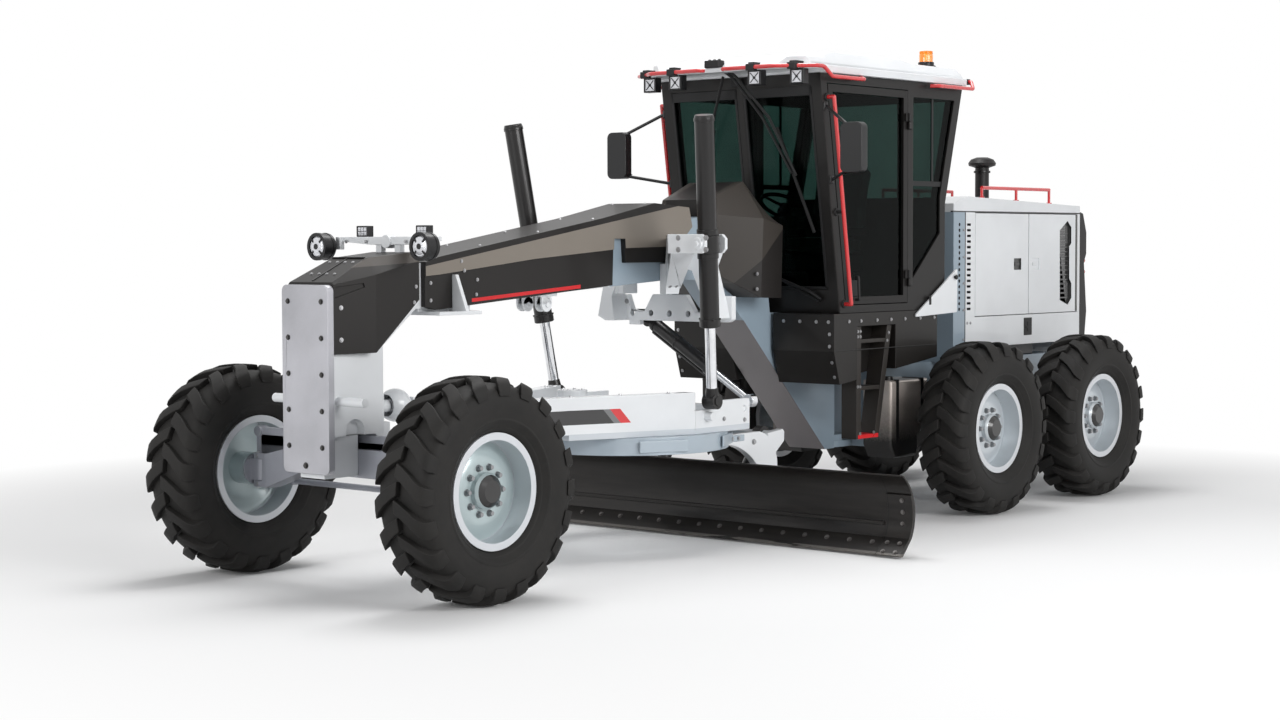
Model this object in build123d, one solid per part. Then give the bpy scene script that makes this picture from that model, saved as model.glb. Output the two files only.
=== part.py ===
from build123d import *
import os
from math import cos, radians, sin, tan

os.makedirs("parts", exist_ok=True)

# Motor grader. X runs forward, Y to the machine's left and Z up, in millimetres.
# The origin lies on the ground, in the middle of the machine's length.

# Running gear
AXLE_X = 3812
WHEELBASE = 6471
TANDEM_SPACING = 1647
TRACK = 2114
TYRE_R = 675
TYRE_W = 430
TREAD_W = 372
CARCASS_R = 640
LUG_COUNT = 20
LUG_W = 46
LUG_ANGLE = 32
RIM_SEAT_R = 317
RIM_FLANGE_R = 348
RIM_HALF_W = 150
RIM_WALL = 14
DISC_Y = 36
DISC_WALL = 16
DISC_DISH = 40
HUB_R = 104
HUB_DOME_R = 110
HUB_DOME_H = 74
STUD_PCD = 286
STUD_COUNT = 10
STUD_R = 13
STUD_L = 30
SPINDLE_R = 40
SPINDLE_L = 110

# Clearances
FIT = 0.05
SEAT = 0.3
GAP = 6

# Front axle and steering
KINGPIN_Y = 882
KINGPIN_R = 25
KNUCKLE_R = 48
KNUCKLE_H = 140
FLANGE_Y = 958
FLANGE_R = 98
FLANGE_T = 14
EAR_T = 40
AXLE_DEPTH = 150
AXLE_MID_Z = 778
AXLE_MID_H = 176
WEB_DEPTH = 110
LEAN_BAR_Z = 924
LEAN_BAR_H = 50
ARM_X = 240
ARM_Y = 32
ARM_T = 35
TIE_ROD_R = 20
AXLE_PIN_R = 40

# Nose, leg and gooseneck beam
PLATE_X = AXLE_X + 400
PLATE_T = 50
PLATE_W = 417
PLATE_Z0 = 735
PLATE_Z1 = 1880
PLATE_CORNER_R = 40
PLATE_HOLE_R = 11
PLATE_HOLE_SPACING = 300
PLATE_HOLE_Z0 = 900
PLATE_HOLE_PITCH = 220
PLATE_HOLE_ROWS = 5
FRAME_W = 340
LEG_REAR_X = AXLE_X - 85
LEG_BOTTOM_Z = 960
BEAM_TOP_FRONT_Z = 2000
BEAM_BOTTOM_FRONT_Z = 1716
BEAM_FRONT_X = AXLE_X - 362
BEAM_REAR_X = -120
BEAM_TOP_REAR_Z = 2390
BEAM_BOTTOM_REAR_Z = 1860
COVER_W = 430
COVER_T = 36
BAND_T = 8
NOSE_RECESS = 10
PLATE_HOLE_DEPTH = 60
NOSE_TOP_Z = BEAM_TOP_FRONT_Z + 75
NOSE_LOW_Z = 1462
LAMP_FACE_X = 70
HEADLAMP_R = 85
HEADLAMP_L = 120
SHELF_Z = 1678
SHELF_T = 22
SHELF_HALF_W = 335
ARCH_W = 151
ARCH_TOP_Z = 1059
PUSH_PIN_Z = 1176
PUSH_PIN_X = PLATE_X - 112
PUSH_PIN_R = 28
PUSH_PIN_Y = 409

# Articulation hitch
PIVOT_X = -1238
HITCH_TOP_Z = 1300
HITCH_LOW_Z = 560
HITCH_T = 50
HITCH_R = 110
HITCH_PIN_R = 45
HITCH_FRONT_X = -1080
SLOPE_TOP_X = 92
SLOPE_TOP_Z = 1550
SLOPE_LOW_X = -945
SLOPE_LOW_Z = 516

# Drawbar and circle
BALL_X = AXLE_X - 342
BALL_Z = 1110
BALL_R = 70
SOCKET_R = 105
STUB_R = 40
RAIL_W = 110
DRAWBAR_Z0 = 810.3
DRAWBAR_PLATE_T = 40
DRAWBAR_TOP_Z = 1100
DRAWBAR_END_X = 680
DRAWBAR_HALF_W = 680
BRACKET_TOP_Z = 1030
NOTCH_Z = 974
CIRCLE_X = 1250
CIRCLE_R = 740
CIRCLE_INNER_R = 610
CIRCLE_Z0 = 690
CIRCLE_Z1 = 810
CIRCLE_ARM_Y = 550
CIRCLE_ARM_T = 60
CIRCLE_ARM_TOP_Z = 770
GEAR_TEETH = 72
GEAR_DEPTH = 16
DRIVE_R = 105
DRIVE_TOP_Z = 1120

# Blade
BLADE_HALF_L = 1980
BLADE_TOP = (700, 562)
BLADE_BACK = (556, 281)
BLADE_JOINT = (599, 125)
BLADE_T = 20
EDGE_X = 717
EDGE_Z = 12
END_BIT_L = 200
END_BIT_T = 12
END_BIT_Z = 420
RAIL_LOW_Z = 215
RAIL_HIGH_Z = 430
RAIL_H = 44
RAIL_D = 50
SHIFT_ROD_X = 482
SIDE_ROD_R = 20
TIP_X = 400
TIP_Z = 170
TIP_PIN_R = 28
TIP_EYE_R = 22
TIP_PIN_HALF_L = 55
TIP_EYE_X = 385
TIP_EYE_Z = 430
TIP_BASE_X = 180
TIP_BASE_Z = 720
TIP_CYL_Y = 400
TIP_BARREL_R = 48
TIP_BARREL_L = 280
TIP_ROD_R = 26

# Lift and shift cylinders
LIFT_TOP = (1447, 882, 2978)
LIFT_EYE = (1169, 730, 1037)
LIFT_PIVOT_Z = 2120
LIFT_BARREL_R = 66
LIFT_BARREL_END_Z = 1552
LIFT_ROD_R = 38
LIFT_EYE_R = 52
SHIFT_X = 570
SHIFT_HEAD = (-330, 1560)
SHIFT_EYE = (600, 1000)
SHIFT_BARREL_R = 48
SHIFT_BARREL_L = 690
SHIFT_ROD_R = 28
LINK_BAR_X0 = 700
LINK_BAR_T = 50
LINK_BAR_Z = 1617
LINK_BAR_H = 110
LINK_BAR_PITCH = 174
SADDLE_T = 25
CLAMP_GAP = 30
CLAMP_T = 30

# Cab
CAB_HALF_W = 750
CAB_WALL = 60
CAB_FLOOR_Z = 1600
CAB_TOP_Z = 3360
CAB_FRONT_LOW_X = -328
CAB_FRONT_HIGH_X = -68
CAB_REAR_X = -1758
CAB_REAR_KINK_Z = 2420
CAB_REAR_HIGH_X = -2010
DOOR_REAR_X = -1228
PILLAR_W = 80
DOOR_FRAME_W = 55
GLASS_T = 8
HINGE_R = 14
HINGE_H = 60
HINGE_Z = (1850, 3050)
ROOF_FRONT_X = 230
ROOF_REAR_X = -2070
ROOF_HALF_W = 800
ROOF_TOP_Z = CAB_TOP_Z + 140
ROOF_LIP_Z = CAB_TOP_Z + 20
ROOF_LIP_T = 35
ROOF_CROWN = 28
ROOF_CORNER_X = 150
ROOF_CORNER_Y = 250
BEACON_X = -1708
BEACON_Y = 600

# Skirt, ladder and tank below the cab
SKIRT_HALF_W = 760
SKIRT_INNER_Y = 200
SKIRT_REAR_INNER_Y = 262
SKIRT_FRONT_X = -238
SKIRT_REAR_X = -1636
SKIRT_KINK_Z = 1320
SKIRT_LOW_X = -312
SKIRT_LOW_Z = 1074
SKIRT_REAR_Z = 1230
REAR_PANEL_T = 15
LADDER_FRONT_X = -561
LADDER_TOP_REAR_X = -1030
LADDER_LOW_REAR_X = -857
LADDER_TOP_Z = 1500
LADDER_LOW_Z = 650
LADDER_Y0 = 600
LADDER_Y1 = 738
STRINGER_W = 60
TREAD_T = 30
TREAD_Z = (1400, 1045, 680)
TANK_X0 = -1790
TANK_X1 = -1262
TANK_Y1 = 580
TANK_Z0 = 440
TANK_Z1 = 1050

# Rear frame, engine and bonnet
RAIL_Y0 = 230
RAIL_Y1 = 320
REAR_RAIL_Z0 = 900
REAR_RAIL_Z1 = 1150
BULKHEAD_X = -1400
BULKHEAD_T = 80
BULKHEAD_UPPER_Y = 150
REAR_END_X = -4440
AXLE_HOUSING_R = 170
TANDEM_Y0 = 695
TANDEM_Y1 = 830
TANDEM_R = 190
ENGINE_X0 = -3900
ENGINE_X1 = -2650
ENGINE_HALF_W = 300
ENGINE_TOP_Z = 2150
BONNET_HALF_W = 530
BONNET_WALL = 40
BONNET_FRONT_X = -2235
BONNET_REAR_X = -4305
BONNET_Z0 = 1260
BONNET_SEAM_Z = 2370
SLOT_PITCH = 46
SLOT_H = 18
VENT_BARS = 15
BONNET_TOP_Z = 2500
BONNET_TOP_REAR_Z = 2440
DOOR_SPLIT_X = -3425
BONNET_DOOR_X1 = -2565
BONNET_DOOR_Z0 = 1510
GRILLE_REAR_X = -4487
GRILLE_HALF_W = 500
LOUVRES = 16
LOUVRE_PITCH = 62
BONNET_RAIL_X0 = -3830
BONNET_RAIL_X1 = -2728
BONNET_RAIL_Y = 490
BONNET_RAIL_Z = 2575
STACK_X = -3533
STACK_R = 60
STACK_CAP_R = 120
STACK_TOP_Z = 2860

TANDEM_X = AXLE_X - WHEELBASE
WHEEL_Y = TRACK / 2


def block(x0, x1, y0, y1, z0, z1):
    box = Box(abs(x1 - x0), abs(y1 - y0), abs(z1 - z0))
    return Pos((x0 + x1) / 2, (y0 + y1) / 2, (z0 + z1) / 2) * box


def side_prism(points, y0, y1):
    """An outline in side view, as (x, z) points, between two values of y."""
    outline = make_face(Polyline(*[(x, y0, z) for x, z in points], close=True))
    return extrude(outline, amount=y1 - y0, dir=(0, 1, 0))


def plan_prism(points, z0, z1):
    """An outline in plan, as (x, y) points, between two heights."""
    outline = make_face(Polyline(*[(x, y, z0) for x, y in points], close=True))
    return extrude(outline, amount=z1 - z0, dir=(0, 0, 1))


def front_prism(points, x0, x1):
    """An outline seen from the front, as (y, z) points, between two values of x."""
    outline = make_face(Polyline(*[(x0, y, z) for y, z in points], close=True))
    return extrude(outline, amount=x1 - x0, dir=(1, 0, 0))


def bar(start, end, radius):
    """A round bar between two points."""
    axis = Vector(*end) - Vector(*start)
    plane = Plane(origin=start, z_dir=axis)
    return plane * Cylinder(radius, axis.length, align=(Align.CENTER, Align.CENTER, Align.MIN))


def sections(outlines):
    """A solid through outlines seen from the front: (x, points), with (y, z) points of one side, low to high."""
    wires = []
    for x, points in outlines:
        ring = [(x, y, z) for y, z in points] + [(x, -y, z) for y, z in reversed(points)]
        wires.append(Polyline(*ring, close=True))
    return Solid.make_loft([Wire(wire.edges()) for wire in wires], ruled=True)


def mirrored(shape):
    return mirror(shape, about=Plane.XZ)


def pair(shape):
    """A piece and its mirror image, kept as two solids."""
    return Compound(children=shape.solids() + mirrored(shape).solids())


def along(start, end, distance):
    """The point that lies this far from the start, towards the end."""
    return tuple(Vector(*start) + (Vector(*end) - Vector(*start)).normalized() * distance)


# Wheels

def tyre():
    """The carcass as one turned profile, with chevron lugs that wrap over its shoulders."""
    half = TYRE_W / 2
    tread = TREAD_W / 2
    bead_y = RIM_HALF_W - RIM_WALL - SEAT
    carcass = [
        (RIM_SEAT_R + SEAT, -bead_y), (RIM_FLANGE_R + 4, -bead_y), (RIM_FLANGE_R + 14, -bead_y - 20),
        (430, -half + 10), (510, -half), (CARCASS_R - 40, -half + 14), (CARCASS_R, -tread * 0.72),
        (CARCASS_R, tread * 0.72), (CARCASS_R - 40, half - 14), (510, half), (430, half - 10),
        (RIM_FLANGE_R + 14, bead_y + 20), (RIM_FLANGE_R + 4, bead_y), (RIM_SEAT_R + SEAT, bead_y),
    ]
    body = revolve(make_face(Polyline(*carcass, close=True)), axis=Axis.Y)
    lugs = []
    for i in range(LUG_COUNT):
        turn = 360 * i / LUG_COUNT
        lugs.append(Rot(0, turn, 0) * lug())
        lugs.append(Rot(0, turn + 180 / LUG_COUNT, 0) * mirrored(lug()))
    return body + lugs


def lug():
    """One lug at the top of the tyre: a slanted bar across the tread, its outer end cut to the shoulder."""
    tread = TREAD_W / 2
    half = TYRE_W / 2
    slant = half * tan(radians(LUG_ANGLE))
    foot = CARCASS_R - 12
    plan = [(-LUG_W / 2, -6), (LUG_W / 2, -6), (slant + LUG_W / 2, half - 4), (slant - LUG_W / 2, half - 4)]
    bar_piece = plan_prism(plan, foot - 70, TYRE_R)
    section = [
        (-6, foot), (-6, TYRE_R), (tread * 0.62, TYRE_R), (tread * 0.93, TYRE_R - 20), (half - 3, CARCASS_R - 46),
        (half - 3, foot - 70), (half - 22, foot - 60), (tread * 0.7, foot),
    ]
    trimmed = bar_piece & front_prism(section, -60, slant + 60)
    return trimmed & bar((0, -half, 0), (0, half, 0), TYRE_R)


def wheel(hub_inboard):
    """Rim, dished disc and hub in one turned profile, as (radius, y outboard), with its studs."""
    inner_r = RIM_SEAT_R - RIM_WALL
    seat_y = RIM_HALF_W - RIM_WALL
    face_y = DISC_Y + DISC_WALL
    bore_r = SPINDLE_R + FIT
    foot_r = HUB_R + 80
    section = [
        (0, SPINDLE_L - hub_inboard + GAP), (bore_r, SPINDLE_L - hub_inboard + GAP), (bore_r, -hub_inboard),
        (HUB_R, -hub_inboard), (HUB_R, DISC_Y), (foot_r, DISC_Y), (inner_r - 24, DISC_Y - DISC_DISH),
        (inner_r, DISC_Y - DISC_DISH), (inner_r, -RIM_HALF_W), (RIM_FLANGE_R, -RIM_HALF_W), (RIM_FLANGE_R, -seat_y),
        (RIM_SEAT_R, -seat_y), (RIM_SEAT_R, seat_y), (RIM_FLANGE_R, seat_y), (RIM_FLANGE_R, RIM_HALF_W),
        (inner_r, RIM_HALF_W), (inner_r, face_y - DISC_DISH), (inner_r - 20, face_y - DISC_DISH), (foot_r + 4, face_y),
        (HUB_DOME_R, face_y), (HUB_DOME_R, face_y + HUB_DOME_H * 0.45), (HUB_DOME_R - 14, face_y + HUB_DOME_H * 0.7),
        (HUB_DOME_R * 0.6, face_y + HUB_DOME_H), (0, face_y + HUB_DOME_H),
    ]
    turned = revolve(make_face(Polyline(*section, close=True)), axis=Axis.Y)
    studs = []
    for i in range(STUD_COUNT):
        turn = radians(360 * i / STUD_COUNT)
        x = STUD_PCD / 2 * cos(turn)
        z = STUD_PCD / 2 * sin(turn)
        studs.append(bar((x, face_y - 2, z), (x, face_y + STUD_L, z), STUD_R))
    return turned + studs


# Front axle and steering

def front_axle():
    top = AXLE_MID_Z + AXLE_MID_H / 2
    low = AXLE_MID_Z - AXLE_MID_H / 2
    ear_top = TYRE_R + KNUCKLE_H / 2 + EAR_T
    ear_low = TYRE_R - KNUCKLE_H / 2 - EAR_T
    web_y = KINGPIN_Y - KNUCKLE_R - 10
    beam_y = web_y - 50
    half = AXLE_DEPTH / 2
    outline = [
        (-beam_y, ear_low), (-420, low), (420, low), (beam_y, ear_low),
        (beam_y, ear_top), (420, top), (-420, top), (-beam_y, ear_top),
    ]
    body = front_prism(outline, AXLE_X - half, AXLE_X + half)
    body -= bar((AXLE_X - half, 0, AXLE_MID_Z), (AXLE_X + half, 0, AXLE_MID_Z), AXLE_PIN_R + FIT)
    web = WEB_DEPTH / 2
    for side in (1, -1):
        y = side * KINGPIN_Y
        body += block(AXLE_X - web, AXLE_X + web, side * (beam_y - 10), side * web_y, ear_low, ear_top)
        for z in (ear_low, ear_top - EAR_T):
            body += block(AXLE_X - web, AXLE_X + web, side * web_y, y, z, z + EAR_T)
            body += Pos(AXLE_X, y, z + EAR_T / 2) * Cylinder(web, EAR_T)
        body += bar((AXLE_X, y, ear_low), (AXLE_X, y, ear_top), KINGPIN_R)
        post = LEAN_BAR_H / 2
        body += block(AXLE_X - post, AXLE_X + post, y - post, y + post, ear_top - EAR_T, LEAN_BAR_Z)
        body += bar((AXLE_X - 40, y, LEAN_BAR_Z), (AXLE_X + 40, y, LEAN_BAR_Z), 34)
    half_h = LEAN_BAR_H / 2
    body += block(AXLE_X - 25, AXLE_X + 25, -KINGPIN_Y, KINGPIN_Y, LEAN_BAR_Z - half_h, LEAN_BAR_Z + half_h)
    return body


def knuckle():
    z0 = TYRE_R - KNUCKLE_H / 2 + SEAT
    z1 = TYRE_R + KNUCKLE_H / 2 - SEAT
    body = Pos(AXLE_X, KINGPIN_Y, TYRE_R) * Cylinder(KNUCKLE_R, z1 - z0)
    body += block(AXLE_X - 45, AXLE_X + 45, KINGPIN_Y, FLANGE_Y, z0, z1)
    body += bar((AXLE_X, FLANGE_Y - FLANGE_T, TYRE_R), (AXLE_X, FLANGE_Y, TYRE_R), FLANGE_R)
    body += bar((AXLE_X, FLANGE_Y, TYRE_R), (AXLE_X, FLANGE_Y + SPINDLE_L, TYRE_R), SPINDLE_R)
    tip_x = AXLE_X - ARM_X
    tip_y = KINGPIN_Y - ARM_Y
    arm = [
        (AXLE_X - 55, FLANGE_Y - FLANGE_T), (AXLE_X - 92, FLANGE_Y), (tip_x - 13, tip_y + 22), (tip_x + 13, tip_y - 22),
    ]
    body += plan_prism(arm, z0, z0 + ARM_T)
    body += Pos(tip_x, tip_y, z0 + ARM_T / 2) * Cylinder(26, ARM_T)
    body -= Pos(AXLE_X, KINGPIN_Y, TYRE_R) * Cylinder(KINGPIN_R + FIT, KNUCKLE_H)
    return body


def tie_rod():
    eye_h = 2 * TIE_ROD_R + 8
    z = TYRE_R - KNUCKLE_H / 2 - eye_h / 2
    y = KINGPIN_Y - ARM_Y
    x = AXLE_X - ARM_X
    body = bar((x, -y, z), (x, y, z), TIE_ROD_R)
    for side in (1, -1):
        body += Pos(x, side * y, z) * Cylinder(TIE_ROD_R + 8, eye_h)
    return body


# Front frame

def push_plate():
    z_mid = (PLATE_Z0 + PLATE_Z1) / 2
    plate = Pos(PLATE_X - PLATE_T / 2, 0, z_mid) * Box(PLATE_T, PLATE_W, PLATE_Z1 - PLATE_Z0)
    plate = fillet(plate.edges().filter_by(Axis.X), PLATE_CORNER_R)
    plate -= plate_holes(PLATE_T + PLATE_HOLE_DEPTH)
    return plate


def plate_holes(depth):
    """The push plate's bolt holes, this deep from its front face."""
    holes = []
    for row in range(PLATE_HOLE_ROWS):
        z = PLATE_HOLE_Z0 + row * PLATE_HOLE_PITCH
        for side in (-1, 1):
            y = side * PLATE_HOLE_SPACING / 2
            holes.append(bar((PLATE_X - depth, y, z), (PLATE_X + 1, y, z), PLATE_HOLE_R))
    return holes


def frame_top():
    """The frame's upper edge in side view, from the push plate back to the cab."""
    return [
        (PLATE_X - PLATE_T - SEAT, PLATE_Z1 - 40), (3650, NOSE_TOP_Z - COVER_T - SEAT),
        (BEAM_FRONT_X, BEAM_TOP_FRONT_Z), (BEAM_REAR_X, BEAM_TOP_REAR_Z),
    ]


def front_frame():
    """Leg, gooseneck beam and hitch of the front frame, in one outline with its pins and plates."""
    half = FRAME_W / 2
    back = PLATE_X - PLATE_T - SEAT
    outline = [
        (back, LEG_BOTTOM_Z), *frame_top(), (BEAM_REAR_X - 120, CAB_FLOOR_Z - SEAT),
        (HITCH_FRONT_X, CAB_FLOOR_Z - SEAT), (HITCH_FRONT_X, SLOPE_LOW_Z),
        (SLOPE_LOW_X, SLOPE_LOW_Z), (SLOPE_TOP_X, SLOPE_TOP_Z),
        (420, BEAM_BOTTOM_REAR_Z), (1034, BEAM_BOTTOM_REAR_Z),
        (BEAM_FRONT_X, BEAM_BOTTOM_FRONT_Z), (LEG_REAR_X, 1500), (LEG_REAR_X, LEG_BOTTOM_Z),
    ]
    frame = side_prism(outline, -half, half)
    arch_x = (AXLE_X + AXLE_DEPTH / 2 + ARCH_W / 2, 0, ARCH_TOP_Z - ARCH_W / 2)
    for side in (1, -1):
        arch = block(arch_x[0] - ARCH_W / 2, arch_x[0] + ARCH_W / 2, side * 112, side * (half + 1), 900, arch_x[2])
        arch += bar((arch_x[0], side * 112, arch_x[2]), (arch_x[0], side * (half + 1), arch_x[2]), ARCH_W / 2)
        frame -= arch
    axle_gap = AXLE_DEPTH / 2 + SEAT
    lug_z = AXLE_MID_Z - 75
    frame += block(AXLE_X + axle_gap, back, -110, 110, lug_z, LEG_BOTTOM_Z + 10)
    frame += block(LEG_REAR_X - 110, AXLE_X - axle_gap, -110, 110, lug_z, LEG_BOTTOM_Z + 60)
    frame += bar((LEG_REAR_X - 110, 0, AXLE_MID_Z), (back, 0, AXLE_MID_Z), AXLE_PIN_R)
    stub_end = BALL_X + BALL_R + SEAT
    frame += block(LEG_REAR_X - 70, LEG_REAR_X + 10, -100, 100, BALL_Z - 90, BALL_Z + 90)
    frame += bar((stub_end, 0, BALL_Z), (LEG_REAR_X, 0, BALL_Z), STUB_R)
    frame += bar((PUSH_PIN_X, -PUSH_PIN_Y, PUSH_PIN_Z), (PUSH_PIN_X, PUSH_PIN_Y, PUSH_PIN_Z), PUSH_PIN_R)
    frame += shelf()
    frame -= plate_holes(PLATE_T + PLATE_HOLE_DEPTH)
    for z in (HITCH_TOP_Z, HITCH_LOW_Z):
        plate = block(PIVOT_X, HITCH_FRONT_X + 10, -HITCH_R, HITCH_R, z, z + HITCH_T)
        plate += Pos(PIVOT_X, 0, z + HITCH_T / 2) * Cylinder(HITCH_R, HITCH_T)
        plate -= Pos(PIVOT_X, 0, z + HITCH_T / 2) * Cylinder(HITCH_PIN_R + FIT, HITCH_T)
        frame += plate
    return frame


def shelf():
    """The shelf plate under the beam's front end, with a tapered gusset on each side of the beam."""
    x1 = BEAM_FRONT_X - 50
    x0 = x1 - 467
    top = SHELF_Z + SHELF_T
    plate = plan_prism([
        (x0, -150), (x0 + 90, -SHELF_HALF_W), (x1, -SHELF_HALF_W), (x1, SHELF_HALF_W), (x0 + 90, SHELF_HALF_W), (x0, 150),
    ], SHELF_Z, top)
    plate += block(x0, x1, -140, 140, top - 1, BEAM_BOTTOM_FRONT_Z + 60)
    x = x1 - 270
    for side in (1, -1):
        gusset = front_prism([
            (side * FRAME_W / 2, top - 1), (side * (SHELF_HALF_W - 6), top - 1),
            (side * (COVER_W / 2 + 20), 1930), (side * FRAME_W / 2, 1930),
        ], x, x + 30)
        plate += gusset
    return plate


def beam_covers():
    """The faceted nose cover, the beam cover with its raised band and the flared cover before the cab."""
    half = COVER_W / 2
    back = PLATE_X - PLATE_T - SEAT
    crease = AXLE_X + 38
    rear = BEAM_FRONT_X + 21
    nose = sections([
        (rear, [(230, 1778), (230, NOSE_TOP_Z - 56), (190, NOSE_TOP_Z)]),
        (crease, [(245, NOSE_LOW_Z), (245, 1938), (150, NOSE_TOP_Z - 35)]),
        (back, [(205, NOSE_LOW_Z), (205, 1880), (190, 1895)]),
    ])
    recess = side_prism([(back - 12, 1866), (crease + 90, 1888), (crease + 82, 1864), (back - 12, 1800)], -300, 300)
    face = [(crease + 60, 237.3 - NOSE_RECESS), (back, 205 - NOSE_RECESS), (back, 300), (crease + 60, 300)]
    pocket = recess & plan_prism(face, 1700, 2000)
    nose -= pocket
    nose -= mirrored(pocket)
    x1 = BEAM_FRONT_X - 50
    front = side_prism([
        (x1, 1731), (x1 - 85, 1710), (x1 - 230, 1719), (1610, 1836), (1597, 2156), (1483, 2156), (1470, 1990),
        (1036, 1990), (743, 2241), (780, 2380), (1166, 2406), (1721, 2296), (x1 - 125, 2045), (x1, 2012),
    ], -half, half)
    band = [(x1 + 1, 1922), (x1 - 124, 1931), (2395, 2023), (1472, 2091), (1036, 2099), (700, 2099)]
    below = side_prism([*band, (700, 1600), (x1 + 1, 1600)], half - BAND_T, half + 1)
    front -= below
    front -= mirrored(below)
    flare = sections([
        (-50, [(417, 1718), (430, 2250), (300, 2310)]),
        (200, [(417, 1725), (440, 2301), (253, 2574)]),
        (560, [(215, 1930), (250, 2330), (215, 2440)]),
    ])
    top = [(x, z + SEAT) for x, z in frame_top()]
    under = [(back, 1300), *top, (-300, 2410), (-300, 1300)]
    hollow = side_prism(under, -FRAME_W / 2 - SEAT, FRAME_W / 2 + SEAT)
    x = x1 - 270
    gusset_room = block(x - SEAT, x + 30 + SEAT, -half - 30, half + 30, SHELF_Z, 1930 + SEAT)
    solids = (nose - hollow).solids() + (front - hollow - gusset_room).solids() + (flare - hollow).solids()
    return Compound(children=solids)


def nose_top_z(x):
    """The height of the nose cover's top behind its crease."""
    share = (x - (BEAM_FRONT_X + 21)) / (AXLE_X + 38 - (BEAM_FRONT_X + 21))
    return NOSE_TOP_Z - 35 * share


def lamp_bar():
    """The bracket over the nose that carries the headlamps, on a round boss and two feet."""
    x = BEAM_FRONT_X + 50
    z = NOSE_TOP_Z + 45
    body = front_prism([
        (-430, z + 50), (430, z + 50), (430, z + 22), (150, z), (-150, z), (-430, z + 22),
    ], x - 30, x + 30)
    body += bar((x - 34, 0, z + 20), (x + 42, 0, z + 20), 42)
    for side in (1, -1):
        foot = [(x - 20, nose_top_z(x - 20) + SEAT), (x + 20, nose_top_z(x + 20) + SEAT), (x + 20, z + 10), (x - 20, z + 10)]
        body += side_prism(foot, side * 60, side * 110)
        body += block(x + 30, x + LAMP_FACE_X, side * 430, side * 390, z - 30, z + 50)
    return body


def lamps():
    """Headlamps with two lenses each, work lamps on the bracket and under the roof, and the beacon."""
    solids = []
    x0 = BEAM_FRONT_X + 50 + LAMP_FACE_X + SEAT
    x1 = x0 + HEADLAMP_L
    z = NOSE_TOP_Z + 34
    for side in (1, -1):
        y = side * (430 + 37)
        shell = bar((x0, y, z), (x1, y, z), HEADLAMP_R)
        shell = chamfer(shell.edges().filter_by(GeomType.CIRCLE).sort_by(Axis.X)[0], 35)
        for dz in (-34, 34):
            shell -= bar((x1 - 12, y, z + dz), (x1 + 1, y, z + dz), 32)
        solids.append(shell)
        low = NOSE_TOP_Z + 95 + SEAT
        work = block(x0 - 136, x0 - 80, side * 220, side * 320, low, low + 70)
        work -= block(x0 - 88, x0 - 79, side * 230, side * 310, low + 10, low + 60)
        solids.append(work)
        for x, y in ((104, 690), (190, 372)):
            z1 = ROOF_LIP_Z - SEAT
            roof_lamp = block(x - 35, x + 35, side * (y - 60), side * (y + 60), z1 - 110, z1)
            roof_lamp -= block(x + 27, x + 36, side * (y - 50), side * (y + 50), z1 - 100, z1 - 10)
            solids.append(roof_lamp)
    base = ROOF_TOP_Z + SEAT
    beacon = Pos(BEACON_X, BEACON_Y, base + 15) * Cylinder(62, 30)
    beacon += Pos(BEACON_X, BEACON_Y, base + 75) * Cylinder(52, 100)
    solids.append(beacon)
    return Compound(children=[s for solid in solids for s in solid.solids()])


# Saddle with the lift cylinder collars and the link bar

def lift_axis_point(z):
    """The point of the left lift cylinder's axis at this height."""
    share = (LIFT_TOP[2] - z) / (LIFT_TOP[2] - LIFT_EYE[2])
    return tuple(top + share * (eye - top) for top, eye in zip(LIFT_TOP, LIFT_EYE))


def saddle():
    """Side plates on the beam, an arm to the clamp of each lift cylinder, and the drilled link bar below."""
    px, py, pz = lift_axis_point(LIFT_PIVOT_Z)
    bar_x0 = LINK_BAR_X0
    bar_x1 = LINK_BAR_X0 + LINK_BAR_T
    inner = LIFT_BARREL_R + CLAMP_GAP
    outer = inner + CLAMP_T
    side = FRAME_W / 2 + SEAT
    plate_y = COVER_W / 2 + SEAT
    half = side_prism([(842, 2117), (1036, 2186), (1073, 1764), (928, 1764)], plate_y, plate_y + SADDLE_T)
    half += block(900, 1060, side, plate_y + 1, 1764, 1980)
    for x0, x1 in ((px + inner, px + outer), (px - outer, px - inner)):
        half += side_plate(x0, x1, py, pz)
    half += block(px - outer, px + outer, py - 250, py - 215, pz - 65, pz + 65)
    root = Polyline((880, plate_y, 1800), (1050, plate_y, 1800), (1030, plate_y, 2160), (870, plate_y, 2110), close=True)
    end_y = py - 215
    end = Polyline(
        (px - outer, end_y, pz - 65), (px + outer, end_y, pz - 65),
        (px + outer, end_y, pz + 65), (px - outer, end_y, pz + 65), close=True,
    )
    half += Solid.make_loft([Wire(root.edges()), Wire(end.edges())], ruled=True)
    crank = [
        (plate_y, 2110), (526, 2110), (457, 1962), (516, 1762), (554, 1594), (486, 1562), (398, 1562), (420, 1740),
        (330, 1930), (plate_y, 1950),
    ]
    half += front_prism(crank, bar_x1, 900)
    low = LINK_BAR_Z - LINK_BAR_H / 2
    ends = [(575, low + 20), (575, 1748), (395, 1751), (353, 1640), (239, 1626), (156, 1754)]
    link = front_prism([(540, low), *ends, *[(-y, z) for y, z in reversed(ends)], (-540, low)], bar_x0, bar_x1)
    link += block(bar_x0, bar_x1, SHIFT_HEAD[0] - 50, SHIFT_HEAD[0] + 50, low - 32, low + 20)
    holes = []
    for i in range(-3, 4):
        y = LINK_BAR_PITCH * i
        holes.append(bar((bar_x0 - 1, y, LINK_BAR_Z), (bar_x1 + 1, y, LINK_BAR_Z), 22))
    return half + mirrored(half) + (link - holes)


def side_plate(x0, x1, py, pz):
    """One cheek of a lift cylinder's clamp, with its corners cut."""
    return front_prism([
        (py - 250, pz - 65), (py + 45, pz - 65), (py + 75, pz - 35), (py + 75, pz + 35), (py + 45, pz + 65), (py - 250, pz + 65),
    ], x0, x1)


# Lift cylinders

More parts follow.
